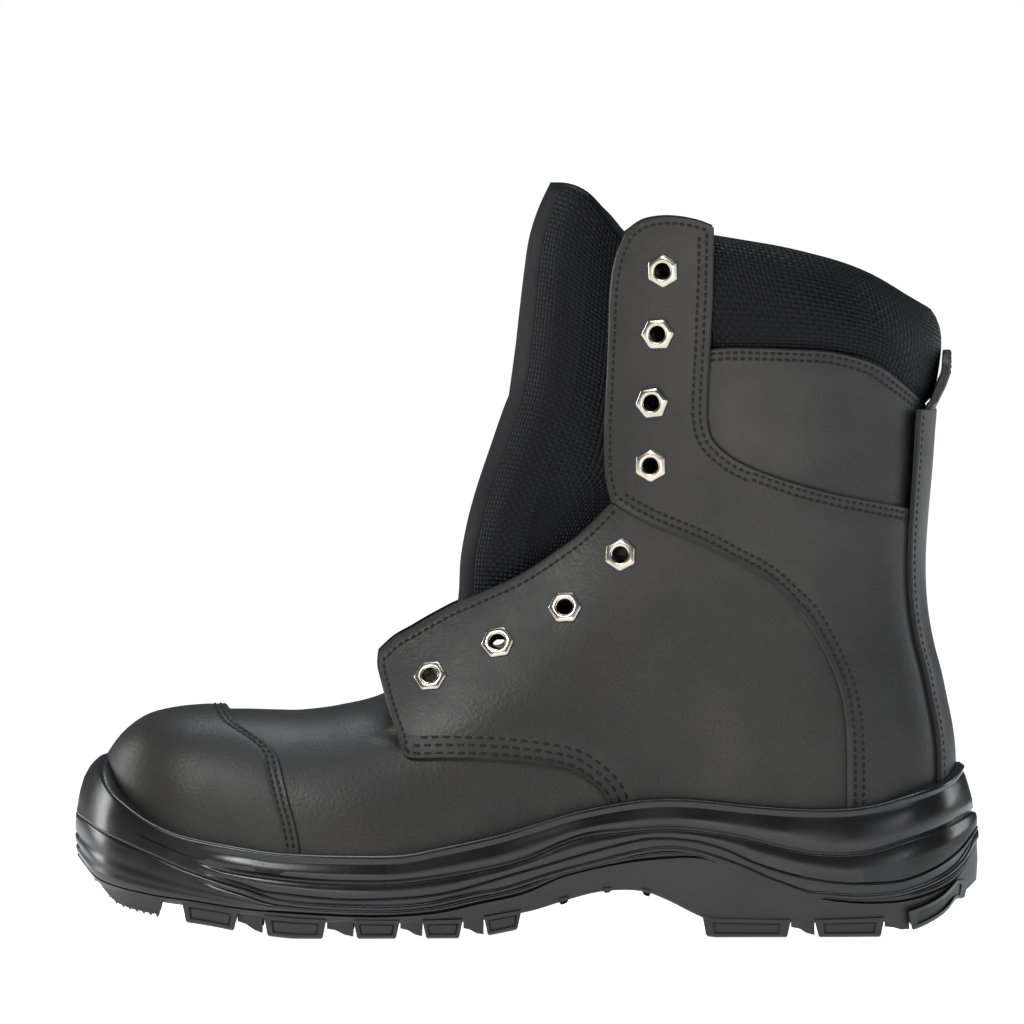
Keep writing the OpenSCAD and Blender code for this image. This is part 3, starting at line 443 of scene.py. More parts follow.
def leg_point(a, z, o):
    """Point of the leg form: a is the way round from the back seam, minus on the outer side of the foot."""
    a, z, o = np.broadcast_arrays(np.asarray(a, float), np.asarray(z, float), np.asarray(o, float))
    side = np.where(a < 0, -1.0, 1.0)
    c = np.abs(a) / ROUND
    turn = np.clip(c, 0, 1) * math.pi / 2
    near = np.where(c < 1, np.cos(turn) ** ROUND_POWER, 0)
    closing = np.where(c < 1, np.sin(turn) ** ROUND_POWER, 1)
    depth = curve(BACK_DEPTH, z) * (1 - near) + np.maximum(np.abs(a) - ROUND, 0)
    x = curve(BACK, np.clip(z, 15, 245)) - depth
    return np.stack([x - o * near, side * (breadth(x, z, side) - o) * closing, z], -1)


def leg_way(x, z):
    """The way round from the back seam of the place at (x, z) in the side view."""
    x, z = np.asarray(x, float), np.asarray(z, float)
    depth = curve(BACK, np.clip(z, 15, 245)) - x
    r = curve(BACK_DEPTH, z)
    near = np.clip(1 - depth / r, 0, 1)
    return np.where(
        depth < r, np.arccos(near ** (1 / ROUND_POWER)) / (math.pi / 2) * ROUND, ROUND + depth - r
    )


def foot_point(t, q, o):
    """Point of the toe and vamp form: q runs from -1 (outer side) over 0 (ridge) to 1."""
    t, q, o = np.broadcast_arrays(np.asarray(t, float), np.asarray(q, float), np.asarray(o, float))
    side = np.where(q < 0, -1.0, 1.0)
    nx, ny = plan_normal(t, side)
    half = np.maximum(plan(t, side) - o * ny, 0)
    base = curve(FLOOR, t)
    rise = np.maximum(curve(RIDGE, t) - base - o, 1)
    power = 2 / curve(FULLNESS, t)
    a = (1 - np.abs(q)) * math.pi / 2
    x = station_x(t) + o * np.maximum(-nx, 0) * np.cos(a / 1.6)
    return np.stack([x, side * half * np.cos(a) ** power, base + rise * np.sin(a) ** power], -1)


# ---------------------------------------------------------------- mesh helpers
def new_piece(name, points, faces, material, smooth_angle=40):
    """A mesh from points in millimetres, with its faces turned outwards."""
    mesh = bpy.data.meshes.new(name)
    mesh.from_pydata([tuple(p) for p in np.asarray(points) * MM], [], [tuple(f) for f in faces])
    mesh.update()
    piece = bpy.data.objects.new(name, mesh)
    scene.collection.objects.link(piece)
    mesh.materials.append(material)
    select(piece)
    bpy.ops.object.mode_set(mode="EDIT")
    bpy.ops.mesh.select_all(action="SELECT")
    bpy.ops.mesh.normals_make_consistent(inside=False)
    bpy.ops.object.mode_set(mode="OBJECT")
    bpy.ops.object.shade_smooth_by_angle(angle=math.radians(smooth_angle))
    return piece


def select(piece):
    bpy.ops.object.select_all(action="DESELECT")
    piece.select_set(True)
    bpy.context.view_layer.objects.active = piece


def set_values(piece, name, values):
    attribute = piece.data.attributes.new(name, "FLOAT", "POINT")
    attribute.data.foreach_set("value", np.asarray(values, np.float32))


def cloth_map(piece, places):
    """The piece's own map: the cloth's width and length at each point, in centimetres."""
    layer = piece.data.uv_layers.new(name="cloth")
    corners = np.empty(len(piece.data.loops), int)
    piece.data.loops.foreach_get("vertex_index", corners)
    layer.data.foreach_set("uv", (np.asarray(places, float)[corners] * 0.1).ravel())


def grid_faces(rows, columns, start=0, closed=False):
    """Faces of a grid whose points are stored row by row; closed joins the last column to the first."""
    last = columns if closed else columns - 1
    return [(start + i * columns + j, start + i * columns + (j + 1) % columns,
             start + (i + 1) * columns + (j + 1) % columns, start + (i + 1) * columns + j)
            for i in range(rows - 1) for j in range(last)]


def shell(outer, inner):
    """Points and faces of a closed sheet between two grids."""
    n, m = outer.shape[:2]
    points = np.concatenate([outer.reshape(-1, 3), inner.reshape(-1, 3)])
    size = n * m
    faces = grid_faces(n, m) + [tuple(reversed(f)) for f in grid_faces(n, m, size)]
    rim = [i * m for i in range(n)] + [(n - 1) * m + j for j in range(1, m)]
    rim += [i * m + m - 1 for i in range(n - 2, -1, -1)] + list(range(m - 2, 0, -1))
    faces += [(a, b, b + size, a + size) for a, b in zip(rim, rim[1:] + rim[:1])]
    return points, faces


def resampled(path, step):
    path = np.asarray(path, float)
    length = np.concatenate([[0], np.cumsum(np.linalg.norm(np.diff(path, axis=0), axis=1))])
    count = max(int(round(length[-1] / step)), 1) + 1
    places = np.linspace(0, length[-1], count)
    return np.column_stack([np.interp(places, length, path[:, k]) for k in range(path.shape[1])])


CURVE_PARTS = 10    # steps from one point of a soft curve to the next


def smoothed(points):
    """A soft curve through the points."""
    p = np.asarray(points, float)
    if len(p) < 3:
        return np.array([p[0] + (p[-1] - p[0]) * k / CURVE_PARTS for k in range(CURVE_PARTS + 1)])
    q = np.vstack([2 * p[0] - p[1], p, 2 * p[-1] - p[-2]])
    out = []
    for i in range(len(p) - 1):
        a, b, c, d = q[i:i + 4]
        for k in range(CURVE_PARTS):
            t = k / CURVE_PARTS
            soft = 2 * b + (c - a) * t + (2 * a - 5 * b + 4 * c - d) * t * t
            out.append(0.5 * (soft + (3 * b - a - 3 * c + d) * t**3))
    return np.array(out + [p[-1]])


def gap_between(points, others):
    """Distance from each point to the nearest of the others, worked out in blocks to save memory."""
    block = 400
    out = np.empty(len(points))
    for i in range(0, len(points), block):
        part = points[i:i + block]
        out[i:i + block] = np.sqrt(((part[:, None] - others[None]) ** 2).sum(-1)).min(1)
    return out


def inside(points, loop):
    x, y = points[:, 0][:, None], points[:, 1][:, None]
    x0, y0 = loop[:, 0], loop[:, 1]
    x1, y1 = np.roll(x0, -1), np.roll(y0, -1)
    with np.errstate(divide="ignore", invalid="ignore"):
        hit = ((y0 > y) != (y1 > y)) & (x < (x1 - x0) * (y - y0) / (y1 - y0) + x0)
    return hit.sum(1) % 2 == 1


# ---------------------------------------------------------------- stitches
STITCH_PITCH = 2.5
THREAD_R = 0.47
seams = {}


def sew(body, path, outward, pitch=STITCH_PITCH, radius=THREAD_R):
    """Adds one row of stitches along a path of points to the seams of a body."""
    path, outward = np.asarray(path), np.asarray(outward)
    length = np.concatenate([[0], np.cumsum(np.linalg.norm(np.diff(path, axis=0), axis=1))])
    count = int(length[-1] / pitch)
    if count < 1:
        return
    pitch = length[-1] / count

    def at(values, s):
        return np.array([np.interp(s, length, values[:, k]) for k in range(3)]).T

    points, faces = seams.setdefault(body, ([], []))
    sides = 6
    # Place along the stitch, height above the leather and thickness, as parts of pitch and radius
    shape = ((0.14, -1.1, 0.7), (0.24, -0.1, 1.0), (0.5, 0.15, 1.05), (0.76, -0.1, 1.0), (0.86, -1.1, 0.7))
    for k in range(count):
        s = np.array([(k + part[0]) * pitch for part in shape])
        middle, up = at(path, s), at(outward, s)
        up /= np.linalg.norm(up, axis=1)[:, None]
        ahead = middle[-1] - middle[0]
        ahead /= np.linalg.norm(ahead)
        first = len(points)
        for (_, rise, thick), m, u in zip(shape, middle, up):
            across = np.cross(ahead, u)
            for n in range(sides):
                turn = 2 * math.pi * n / sides
                up_part = u * (rise + thick * math.sin(turn)) * radius
                points.append(m + up_part + across * math.cos(turn) * thick * radius)
        faces += grid_faces(len(shape), sides, first, True)
        faces.append(tuple(range(first + sides - 1, first - 1, -1)))
        end = first + (len(shape) - 1) * sides
        faces.append(tuple(range(end, end + sides)))


# ---------------------------------------------------------------- leather panels on the leg form
PANEL_T = 1.8
EDGE_STEP = 1.2
POINT_STEP = 3.0
EYELET_HOLE_R = 3.3


SEAM_DEPTH = 0.3    # how far a seam pulls its panel in
NO_SEAM = 9.0       # distance given where there is no seam, past the reach of any groove


def panel(name, runs, side, depth, thick=PANEL_T, material=None, holes=(), body="root"):
    """A cut panel with pressed seams. runs is its outline, as (points in the side view, [row distances])."""
    material = material or LEATHER
    loop, lines = [], []
    for points, rows in runs:
        path = smoothed(points)
        way = resampled(np.column_stack([leg_way(path[:, 0], path[:, 1]), path[:, 1]]), EDGE_STEP)
        loop.append(way[:-1])
        lines.append((way, rows))
    loop = np.concatenate(loop)
    area = 0.5 * np.sum(loop[:, 0] * np.roll(loop[:, 1], -1) - np.roll(loop[:, 0], -1) * loop[:, 1])
    inward = 1 if area > 0 else -1

    def moved_in(way, distance):
        ahead = np.gradient(way, axis=0)
        ahead /= np.linalg.norm(ahead, axis=1)[:, None]
        return way + np.column_stack([-ahead[:, 1], ahead[:, 0]]) * inward * distance

    rows, pitches = [], []
    for way, distances in lines:
        for distance in distances:
            pitch = STITCH_PITCH
            if isinstance(distance, tuple):
                distance, pitch = distance
            row = moved_in(resampled(way, 0.6), distance)
            row = row[inside(row, loop)]
            row = row[gap_between(row, loop) > distance - 0.12]
            if len(row) > 8:
                rows.append(resampled(row, EDGE_STEP))
                pitches.append(pitch)
    bead = moved_in(np.vstack([loop, loop[:1]]), 0.55)[:-1]
    bead = bead[inside(bead, loop)]
    bead = bead[gap_between(bead, loop) > 0.45]
    points = [loop, bead]
    edges = [(i, (i + 1) % len(loop)) for i in range(len(loop))]
    count = len(loop) + len(bead)
    for row in rows:
        edges += [(count + i, count + i + 1) for i in range(len(row) - 1)]
        points.append(row)
        count += len(row)
    circles = []
    for x, z in holes:
        centre = np.array([float(leg_way(x, z)), z])
        turn = np.linspace(0, 2 * math.pi, 25)[:-1]
        ring = centre + EYELET_HOLE_R * np.column_stack([np.cos(turn), np.sin(turn)])
        circles.append(centre)
        edges += [(count + i, count + (i + 1) % len(ring)) for i in range(len(ring))]
        points.append(ring)
        count += len(ring)
    fixed = np.concatenate(points)
    low, high = loop.min(0), loop.max(0)
    grid = np.array([(x + (j % 2) * POINT_STEP / 2, y)
                     for j, y in enumerate(np.arange(low[1], high[1], POINT_STEP * 0.87))
                     for x in np.arange(low[0], high[0], POINT_STEP)])
    grid = grid[inside(grid, loop)]
    grid = grid[gap_between(grid, fixed) > 0.55 * POINT_STEP]
    places = np.concatenate([fixed, grid])
    result = geometry.delaunay_2d_cdt([Vector(p) for p in places], edges, [], 1, 1e-5)
    flat = np.array([tuple(v) for v in result[0]])
    triangles = [tuple(f) for f in result[2]]
    if circles:
        centres = np.array(circles)
        middle = np.array([flat[list(f)].mean(0) for f in triangles])
        keep = gap_between(middle, centres) > EYELET_HOLE_R * 0.97
        triangles = [f for f, k in zip(triangles, keep) if k]
    rim = gap_between(flat, loop)
    rim_gap = np.where(rim < 0.05, 0, rim)
    seam_gap = gap_between(flat, np.concatenate(rows)) if rows else np.full(len(flat), NO_SEAM)
    sink = SEAM_DEPTH * np.exp(-(seam_gap / 0.8) ** 2) + 0.45 * np.clip(1 - rim_gap / 0.5, 0, 1)
    outer = leg_point(flat[:, 0] * side, flat[:, 1], depth(flat[:, 1]) + sink)
    inner = leg_point(flat[:, 0] * side, flat[:, 1], depth(flat[:, 1]) + thick)
    size = len(flat)
    edge_use = {}
    for f in triangles:
        for k in range(3):
            e = (f[k], f[(k + 1) % 3])
            edge_use[e] = True
    walls = [(b, a, a + size, b + size) for a, b in edge_use if (b, a) not in edge_use]
    faces = triangles + [(c + size, b + size, a + size) for a, b, c in triangles] + walls
    piece = new_piece(name, np.concatenate([outer, inner]), faces, material)
    set_values(piece, "groove", np.concatenate([seam_gap, np.full(size, NO_SEAM)]))
    set_values(piece, "rim", np.concatenate([rim_gap, np.full(size, 0.5)]))
    for row, pitch in zip(rows, pitches):
        fine = resampled(row, 0.6)
        o = depth(fine[:, 1]) + SEAM_DEPTH
        top = leg_point(fine[:, 0] * side, fine[:, 1], o)
        sew(
            body, top, top - leg_point(fine[:, 0] * side, fine[:, 1], o + 0.5), pitch,
            THREAD_R if pitch < 3 else 0.45
        )
    return piece


def at_depth(o):
    return lambda z: np.full(np.shape(z), float(o))


SIDES = (("lateral", -1), ("medial", 1))
LOWER_EYELETS = [(-33, 89), (-10, 100.5), (13, 112.5), (32, 130.5)]
UPPER_EYELETS = [(42.3, 161), (42.7, 182.5), (44.7, 206), (46.4, 227.5)]

THROAT = [
    (-51, 97), (-49.2, 98.8), (-45.4, 102.1), (-39.9, 105.2), (-34.8, 108.2), (-25.9, 113),
    (-20.1, 115.4), (-12.6, 118.8), (-5.1, 122.2), (2, 126.3), (9.6, 131.4), (17.1, 136.9), (22.9, 142.4),
    (28.7, 148.5)
]
QUARTER_FRONT = [(-43.2, 65.2), (-44.4, 69.6), (-47.5, 78.5), (-49.8, 86.7), (-51.2, 92.5), (-51, 97)]
QUARTER_LOW = [
    (28, 44), (26, 48.6), (22.9, 51.9), (18.5, 55.2), (13.3, 57.7), (2, 59.7), (-12.6, 61.1),
    (-27.3, 61.5), (-37, 61.3), (-40.6, 61.8), (-42.4, 63.2), (-43.2, 65.2)
]
REAR_LOW = [
    (28.7, 148.5), (38.6, 142.7), (49.5, 137.9), (60.8, 133.2), (70.7, 128), (80.9, 122.6), (89.1, 115.4),
    (96.3, 106.2), (101.7, 97), (105.8, 87.7), (108.2, 78.5), (109.3, 64.9), (109.3, 40)
]
FACING_FRONT = [
    (28.7, 148.5), (26.6, 158), (26.3, 173), (27, 188), (27.7, 204.5), (28.3, 220.5), (30, 231.5),
    (33.5, 240.4)
]
FACING_TOP = [(33.5, 240.4), (39.3, 244.4), (46.1, 245.8), (52.9, 245.5), (59.4, 244.1), (63.8, 242.4)]
FACING_REAR = [
    (63.8, 242.4), (63.8, 237.9), (63.5, 220.5), (62.8, 206.9), (61.8, 189.1), (61.5, 178.9),
    (62.5, 172.4), (64.9, 168.3), (70.7, 163.5), (77.5, 160.1)
]
REAR_TOP = [(77.5, 160.1), (84.7, 157.4), (95.6, 154), (107.9, 150.9), (120.2, 148.5), (136.2, 145.1)]
SHAFT_TOP = [
    (58, 200.4), (71.4, 201.4), (95.6, 200.7), (104.8, 200), (114, 198), (121.2, 195.3), (127.3, 191.2),
    (133.5, 186.4), (139.5, 181)
]
BOTTOM_Z = 33.0


def bend(piece):
    """Bakes the piece's placement into its mesh; nothing is bent here."""
    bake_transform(piece)


for name, side in SIDES:
    quarter = panel("quarter_leather_" + name, [
        (THROAT, [2.9]),
        ([(28.7, 148.5), (60, 149), (100, 149), (135.9, 149)], []),
        ([(135.9, 149), (134.7, 128), (137.7, 99), (142.2, 80), (145, 61), (145, BOTTOM_Z)], []),
        ([(145, BOTTOM_Z), (28, BOTTOM_Z)], []),
        ([(28, BOTTOM_Z), (28, 44)], []),
        (QUARTER_LOW, [(1.6, 3.7), (4.3, 3.7), (7, 3.7)]),
        (QUARTER_FRONT, [2.3]),
    ], side, at_depth(2), holes=LOWER_EYELETS)
    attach(quarter, "root")
    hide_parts("quarter_" + name)

    rear = panel("facing_and_rear_leather_" + name, [
        (FACING_FRONT, [2.1]),
        (FACING_TOP, [2.1]),
        (FACING_REAR, [2.4, 4.9]),
        (REAR_TOP, [1.8, 4.0]),
        ([(136.2, 145.1), (134.7, 128), (137.7, 99), (142.2, 80), (145, 61), (145, 40)], []),
        ([(145, 40), (109.3, 40)], []),
        (REAR_LOW[::-1], [2.4, 4.9]),
    ], side, at_depth(0), holes=UPPER_EYELETS, body="bend_" + name)
    bend(rear)
    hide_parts("rear_panel_" + name, "facing_" + name)

    shaft = panel("shaft_leather_" + name, [
        (SHAFT_TOP, [1.8, 3.9]),
        ([(139.5, 181), (137.1, 161), (135.9, 146.5)], []),
        ([(135.9, 146.5), (58, 146.5)], []),
        ([(58, 146.5), (58, 200.4)], []),
    ], side, at_depth(2))
    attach(shaft, "root")
    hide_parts("shaft_panel_" + name)

    stay = panel("eyelet_stay_leather_" + name, [
        ([(-46, 99), (-43, 101.5), (-34, 106), (-4, 119.5), (20, 137), (29, 146)], []),
        ([(29, 146), (50, 146)], []),
        ([(50, 146), (44, 131), (27, 104), (0, 90), (-38, 76), (-45, 88)], []),
        ([(-45, 88), (-46, 99)], []),
    ], side, at_depth(4), material=SMOOTH_LEATHER, holes=LOWER_EYELETS)
    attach(stay, "root")
    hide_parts("eyelet_stay_" + name)

    backing = panel("facing_backing_" + name, [
        ([(29.5, 150.5), (28, 160), (28.6, 190), (30, 220), (35, 239)], []),
        ([(35, 239), (41, 242), (58.5, 241)], []),
        ([(58.5, 241), (60.5, 230), (60.5, 150.5)], []),
        ([(60.5, 150.5), (29.5, 150.5)], []),
    ], side, at_depth(2), thick=2.9, material=SMOOTH_LEATHER, holes=UPPER_EYELETS)
    bend(backing)
    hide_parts("facing_stay_" + name, "facing_lining_" + name)

# ---------------------------------------------------------------- toe overlay and vamp
OVERLAY_EDGE = [
    (31, -77.5), (39.6, -79.2), (45.4, -80.9), (51.2, -82.3), (56.3, -83.6), (61.1, -84.7), (64.2, -86.4),
    (66.9, -89.4), (69.3, -92.9), (71.7, -96.6), (74.1, -99.7), (76.8, -101.7), (79, -103)
]
TURNS = np.linspace(-1, 1, 141)


def overlay_end(q):
    """Station at which the toe overlay ends on each line of turns."""
    low, high = np.full(q.shape, 0.1), np.full(q.shape, 0.5)
    for _ in range(30):
        middle = (low + high) / 2
        p = foot_point(middle, q, 0.0)
        past = p[:, 0] > curve(OVERLAY_EDGE, np.clip(p[:, 2], 31, 79))
        high, low = np.where(past, middle, high), np.where(past, low, middle)
    return (low + high) / 2


ends = overlay_end(TURNS)
SEAM_ROWS = (2.05, 4.15)
back_steps = np.array([0, 0.5, 1.2, 2.05, 2.7, 3.5, 4.15, 4.9, 6.2])
ahead = math.pi * LAST_HALF * np.sin(math.pi * ends)
columns = [ends - d / ahead for d in back_steps]
first_station = 0.012
for part in np.linspace(0, 1, 40)[1:]:
    columns.append(columns[len(back_steps) - 1] * (1 - part) + first_station * part)
columns = np.array(columns)
distance = np.concatenate([back_steps, np.full(39, 9.0)])[:, None] * np.ones((1, len(TURNS)))
row_gap = np.min([np.abs(distance - d) for d in SEAM_ROWS], axis=0)
sink = 0.3 * np.exp(-(row_gap / 0.7) ** 2) + 0.45 * np.clip(1 - distance / 0.5, 0, 1)
turns = np.broadcast_to(TURNS, columns.shape)
points, faces = shell(foot_point(columns, turns, sink), foot_point(columns, turns, 1.8))
overlay = new_piece("toe_overlay_leather", points, faces, LEATHER)
set_values(overlay, "groove", np.concatenate([row_gap.ravel(), np.full(row_gap.size, NO_SEAM)]))
set_values(overlay, "rim", np.concatenate([distance.ravel(), np.full(row_gap.size, 0.5)]))
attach(overlay, "root")
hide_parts("toe_overlay")
for d in SEAM_ROWS:
    path = foot_point(ends - d / ahead, TURNS, 0.3)
    up = path - foot_point(ends - d / ahead, TURNS, 0.8)
    keep = path[:, 2] > 30
    sew("root", path[keep], up[keep])


def under_leg(p, o):
    """Behind the ball of the foot the vamp passes inside the quarters and the eyelet stays."""
    side = np.where(p[..., 1] < 0, -1.0, 1.0)
    limit = breadth(p[..., 0], p[..., 2], side) - o - 1.1 - 4 * step01((p[..., 2] - 60) / 10)
    held = side * np.minimum(np.abs(p[..., 1]), np.maximum(limit, 0))
    mix = step01((p[..., 0] + 66) / 20)
    out = p.copy()
    out[..., 1] = p[..., 1] * (1 - mix) + held * mix
    return out


vamp_start = overlay_end(TURNS) - 0.03
reach = np.linspace(0, 1, 60)[:, None]
vamp_stations = vamp_start[None] * (1 - reach) + 0.435 * reach
turns = np.broadcast_to(TURNS, vamp_stations.shape)
outer = under_leg(foot_point(vamp_stations, turns, 1.9), 1.9)
inner = under_leg(foot_point(vamp_stations, turns, 3.7), 3.7)
points, faces = shell(outer, inner)
# Under the quarter the vamp goes on as a flap on each side
SIDE_TOP = 73.0
flap_stations = np.linspace(0.4345, 0.57, 30)
turn_scan = np.linspace(0, 1, 200)
for side in (-1, 1):
    scan = foot_point(flap_stations[:, None], side * turn_scan[None], 1.9)
    reach_q = np.array([np.interp(-SIDE_TOP, -row[:, 2], turn_scan) for row in scan])
    q = side * (1 - (1 - reach_q)[:, None] * np.linspace(0, 1, 40)[None])
    stations = np.broadcast_to(flap_stations[:, None], q.shape)
    more, more_faces = shell(
        under_leg(foot_point(stations, q, 1.9), 1.9), under_leg(foot_point(stations, q, 3.7), 3.7)
    )
    faces += [tuple(len(points) + k for k in f) for f in more_faces]
    points = np.concatenate([points, more])
vamp = new_piece("vamp_leather", points, faces, LEATHER)
set_values(vamp, "groove", np.full(len(points), NO_SEAM))
set_values(vamp, "rim", np.full(len(points), NO_SEAM))
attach(vamp, "root")
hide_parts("vamp")

# ---------------------------------------------------------------- back stay, lining and pull tab
stay_rows = np.concatenate([[50, 50.5], np.arange(52, 179, 2.2), [179.6, 180]])
stay_ways = np.concatenate([[-19, -18.6, -17.8], np.linspace(-16.6, 16.6, 27), [17.8, 18.6, 19]])
ways, heights = np.meshgrid(stay_ways, stay_rows, indexing="ij")
rim = np.minimum(19 - np.abs(ways), 180 - heights)
row_gap = np.abs(19 - np.abs(ways) - 2.0)
sink = 0.45 * np.clip(1 - rim / 0.5, 0, 1) + 0.28 * np.exp(-(row_gap / 0.7) ** 2)
points, faces = shell(leg_point(ways, heights, -2 + sink), leg_point(ways, heights, -0.2))
backstay = new_piece("backstay_leather", points, faces, LEATHER)
set_values(backstay, "groove", np.concatenate([row_gap.ravel(), np.full(row_gap.size, NO_SEAM)]))
set_values(backstay, "rim", np.concatenate([rim.ravel(), np.full(rim.size, 0.5)]))
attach(backstay, "root")
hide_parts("backstay")
for way in (-17.0, 17.0):
    z = np.arange(52, 179, 0.8)
    path = leg_point(np.full(z.shape, way), z, -1.7)
    sew("root", path, path - leg_point(np.full(z.shape, way), z, -1.2))

PLY = 2.0
LINING_O = 3 * PLY


def lining_depth(z):
    return LINING_O + 5 * step01((np.asarray(z) - 125) / 45)


lining_rows = np.linspace(31, 212, 70)
fractions = np.linspace(-1, 1, 121)
limit = np.array(
    [float(leg_way(61.5 if z > 148 else 61.5 - (148 - z) * 0.75 if z > 90 else 20, z)) for z in lining_rows]
)
limit = np.convolve(np.pad(limit, 3, mode="edge"), np.ones(7) / 7, mode="valid")
ways = fractions[:, None] * limit[None]
heights = np.broadcast_to(lining_rows, ways.shape)
depth = lining_depth(heights)
points, faces = shell(leg_point(ways, heights, depth), leg_point(ways, heights, depth + 1))
lining = new_piece("leg_lining_cloth", points, faces, LINING)
cloth_map(lining, np.tile(np.column_stack([ways.ravel(), heights.ravel()]), (2, 1)))
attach(lining, "root")
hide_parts("leg_lining")

TAB_LEAN = [
    (172, 136.4), (176, 137.0), (179.5, 137.7), (182, 138.2), (184.5, 138.9), (187.4, 140.0),
    (190, 141.2), (192.6, 142.2), (198, 142.4), (201, 142.4)
]
TAB_HALF, TAB_ROUND_Z, TAB_TOP_Z = 13.0, 191.6, 200.1
tab_z = np.concatenate(
    [np.linspace(172, TAB_ROUND_Z, 24)[:-1], TAB_ROUND_Z + 8.5 * np.sin(np.linspace(0, 1, 14) * math.pi / 2)]
)
arch = np.clip((tab_z - TAB_ROUND_Z) / 8.5, 0, 1)
tab_half = TAB_HALF * np.sqrt(np.clip(1 - arch**2, 0.03, 1))
tab_t = curve([(172, 1.6), (179.5, 2.2), (183, 2.9), (187, 3.5), (190, 3.3), (194, 2.9), (200, 3.1)], tab_z)
spread = np.linspace(-1, 1, 31)
y = spread[:, None] * tab_half[None]
z = np.broadcast_to(tab_z, y.shape)
thick = np.broadcast_to(tab_t, y.shape)
bow = (np.abs(y) / TAB_HALF) ** 2 * np.where(z < 182, 1.2, 0.3)
x = curve(TAB_LEAN, z) - bow
rim = np.minimum((tab_half[None] - np.abs(y)), TAB_TOP_Z - z)
crown = 0.55 * np.clip(1 - rim / 1.2, 0, 1) ** 2 + 0.2 * np.exp(-((rim - 2.4) / 0.6) ** 2)
points, faces = shell(np.stack([x + thick - crown, y, z], -1), np.stack([x + crown * 0.5, y, z], -1))
tab = new_piece("pull_tab_leather", points, faces, LEATHER)
set_values(tab, "groove", np.tile(np.abs(rim - 2.4).ravel(), 2))
set_values(tab, "rim", np.tile(np.clip(rim, 0, 9).ravel(), 2))
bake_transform(tab)
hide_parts("pull_tab")
turn = np.linspace(0, math.pi, 60)
tab_path = np.stack(
    [curve(TAB_LEAN, 191 + 6.4 * np.sin(turn)) + 2.55, -10.6 * np.cos(turn), 191 + 6.4 * np.sin(turn)], -1
)
sew("pull_tab", tab_path, np.tile([1.0, 0, 0], (60, 1)))

# ---------------------------------------------------------------- eyelets
HEX_R, BORE_R, BARREL_R = 5.9, 2.7, 3.2
# How round (0 hexagon, 1 circle), radius and height of each ring of an eyelet
EYELET_RINGS = [
    (0, 1.0, 0.05), (0, 1.0, 0.55), (0, 0.96, 0.9), (0.15, 0.88, 1.12), (0.7, 0.72, 1.3), (1, 0.62, 1.38),
    (1, 0.54, 1.3), (1, 0.485, 1.05), (1, 0.46, 0.6), (1, BORE_R / HEX_R, -0.5),
    (1, BORE_R / HEX_R, -4.4), (1, BARREL_R / HEX_R, -4.4), (1, BARREL_R / HEX_R, 0.05)
]


def eyelet_points(turned):
    turn = np.linspace(0, 2 * math.pi, 49)[:-1]
    hexagon = math.cos(math.pi / 6) / np.cos((turn % (math.pi / 3)) - math.pi / 6)
    hexagon = np.minimum(hexagon, 0.975)
    rings = []
    for roundness, radius, height in EYELET_RINGS:
        r = HEX_R * radius * (hexagon * (1 - roundness) + roundness)
        rings.append(
            np.column_stack([r * np.cos(turn + turned), r * np.sin(turn + turned), np.full(48, height)])
        )
    return np.array(rings)


def eyelet_set(name, places, side, o, body, turns):
    points, faces = [], []
    for (x, z), turned in zip(places, turns):
        near = np.array([x - 2.0, x + 2.0, x, x, x])
        level = np.array([z, z, z - 2.0, z + 2.0, z])
        b = breadth(near, level, side)
        n = np.array([-(b[1] - b[0]) / 4, side, -(b[3] - b[2]) / 4])
        n /= np.linalg.norm(n)
        u = np.cross([0, 0, 1], n)
        u /= np.linalg.norm(u)
        v = np.cross(n, u)
        centre = np.array([x, side * (b[4] - o), z])
        shape = eyelet_points(math.radians(turned))
        first = sum(len(p) for p in points)
        rings, sides = shape.shape[:2]
        points.append((shape.reshape(-1, 3) @ np.array([u, v, n])) + centre)
        faces += grid_faces(rings, sides, first, True)
        faces += [(first + (rings - 1) * sides + j, first + (rings - 1) * sides + (j + 1) % sides,
                   first + (j + 1) % sides, first + j) for j in range(sides)]
    piece = new_piece(name, np.concatenate(points), faces, NICKEL, 30)
    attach(piece, body)
    return piece


for name, side in SIDES:
    low = eyelet_set("lower_hexagon_eyelets_" + name, LOWER_EYELETS, side, 2, "root", (5, 10, 3, 28))
    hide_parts("lower_eyelets_" + name)
    high = eyelet_set(
        "upper_hexagon_eyelets_" + name, UPPER_EYELETS, side, 0, "facing_flap_" + name, (30, 8, 3, 30)
    )
    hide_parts("upper_eyelets_" + name)

# ---------------------------------------------------------------- sole
SOLE_TOP = by_station(
    [
        (-147, 62), (-146.6, 61.6), (-145.3, 59.5), (-143, 56), (-139.5, 51), (-134, 45.7), (-127, 40.3),
        (-119, 36.2), (-110, 33.8), (-96, 31.4), (-84, 29.6), (-58, 28.7), (-43, 29), (-32, 31),
        (-11, 35.5), (1, 39), (17, 43.7), (38, 47.4), (54, 47.8), (78, 45.4), (95, 44.3), (108, 44.4),
        (118, 45.8), (127, 48.5), (136, 51.8), (142, 54.7), (145.2, 57.6), (146.6, 58.8), (147, 59)
    ]
)
OUTSOLE_TOP = by_station(
    [
        (-147, 27.5), (-146.6, 27.2), (-145, 25), (-140, 19.5), (-125, 14.8), (-110, 12.5), (-95, 10.2),
        (-84, 9.2), (-53, 7.7), (-32, 8.9), (-16, 12.3), (-2, 15.4), (12, 21.2), (32, 25.6), (48, 27.3),
        (59, 27.3), (73, 23.2), (84, 18.8), (102, 13), (121, 11.8), (133, 14.3), (142, 20.5),
        (145.2, 28.5), (146.6, 32.4), (147, 33)
    ]
)
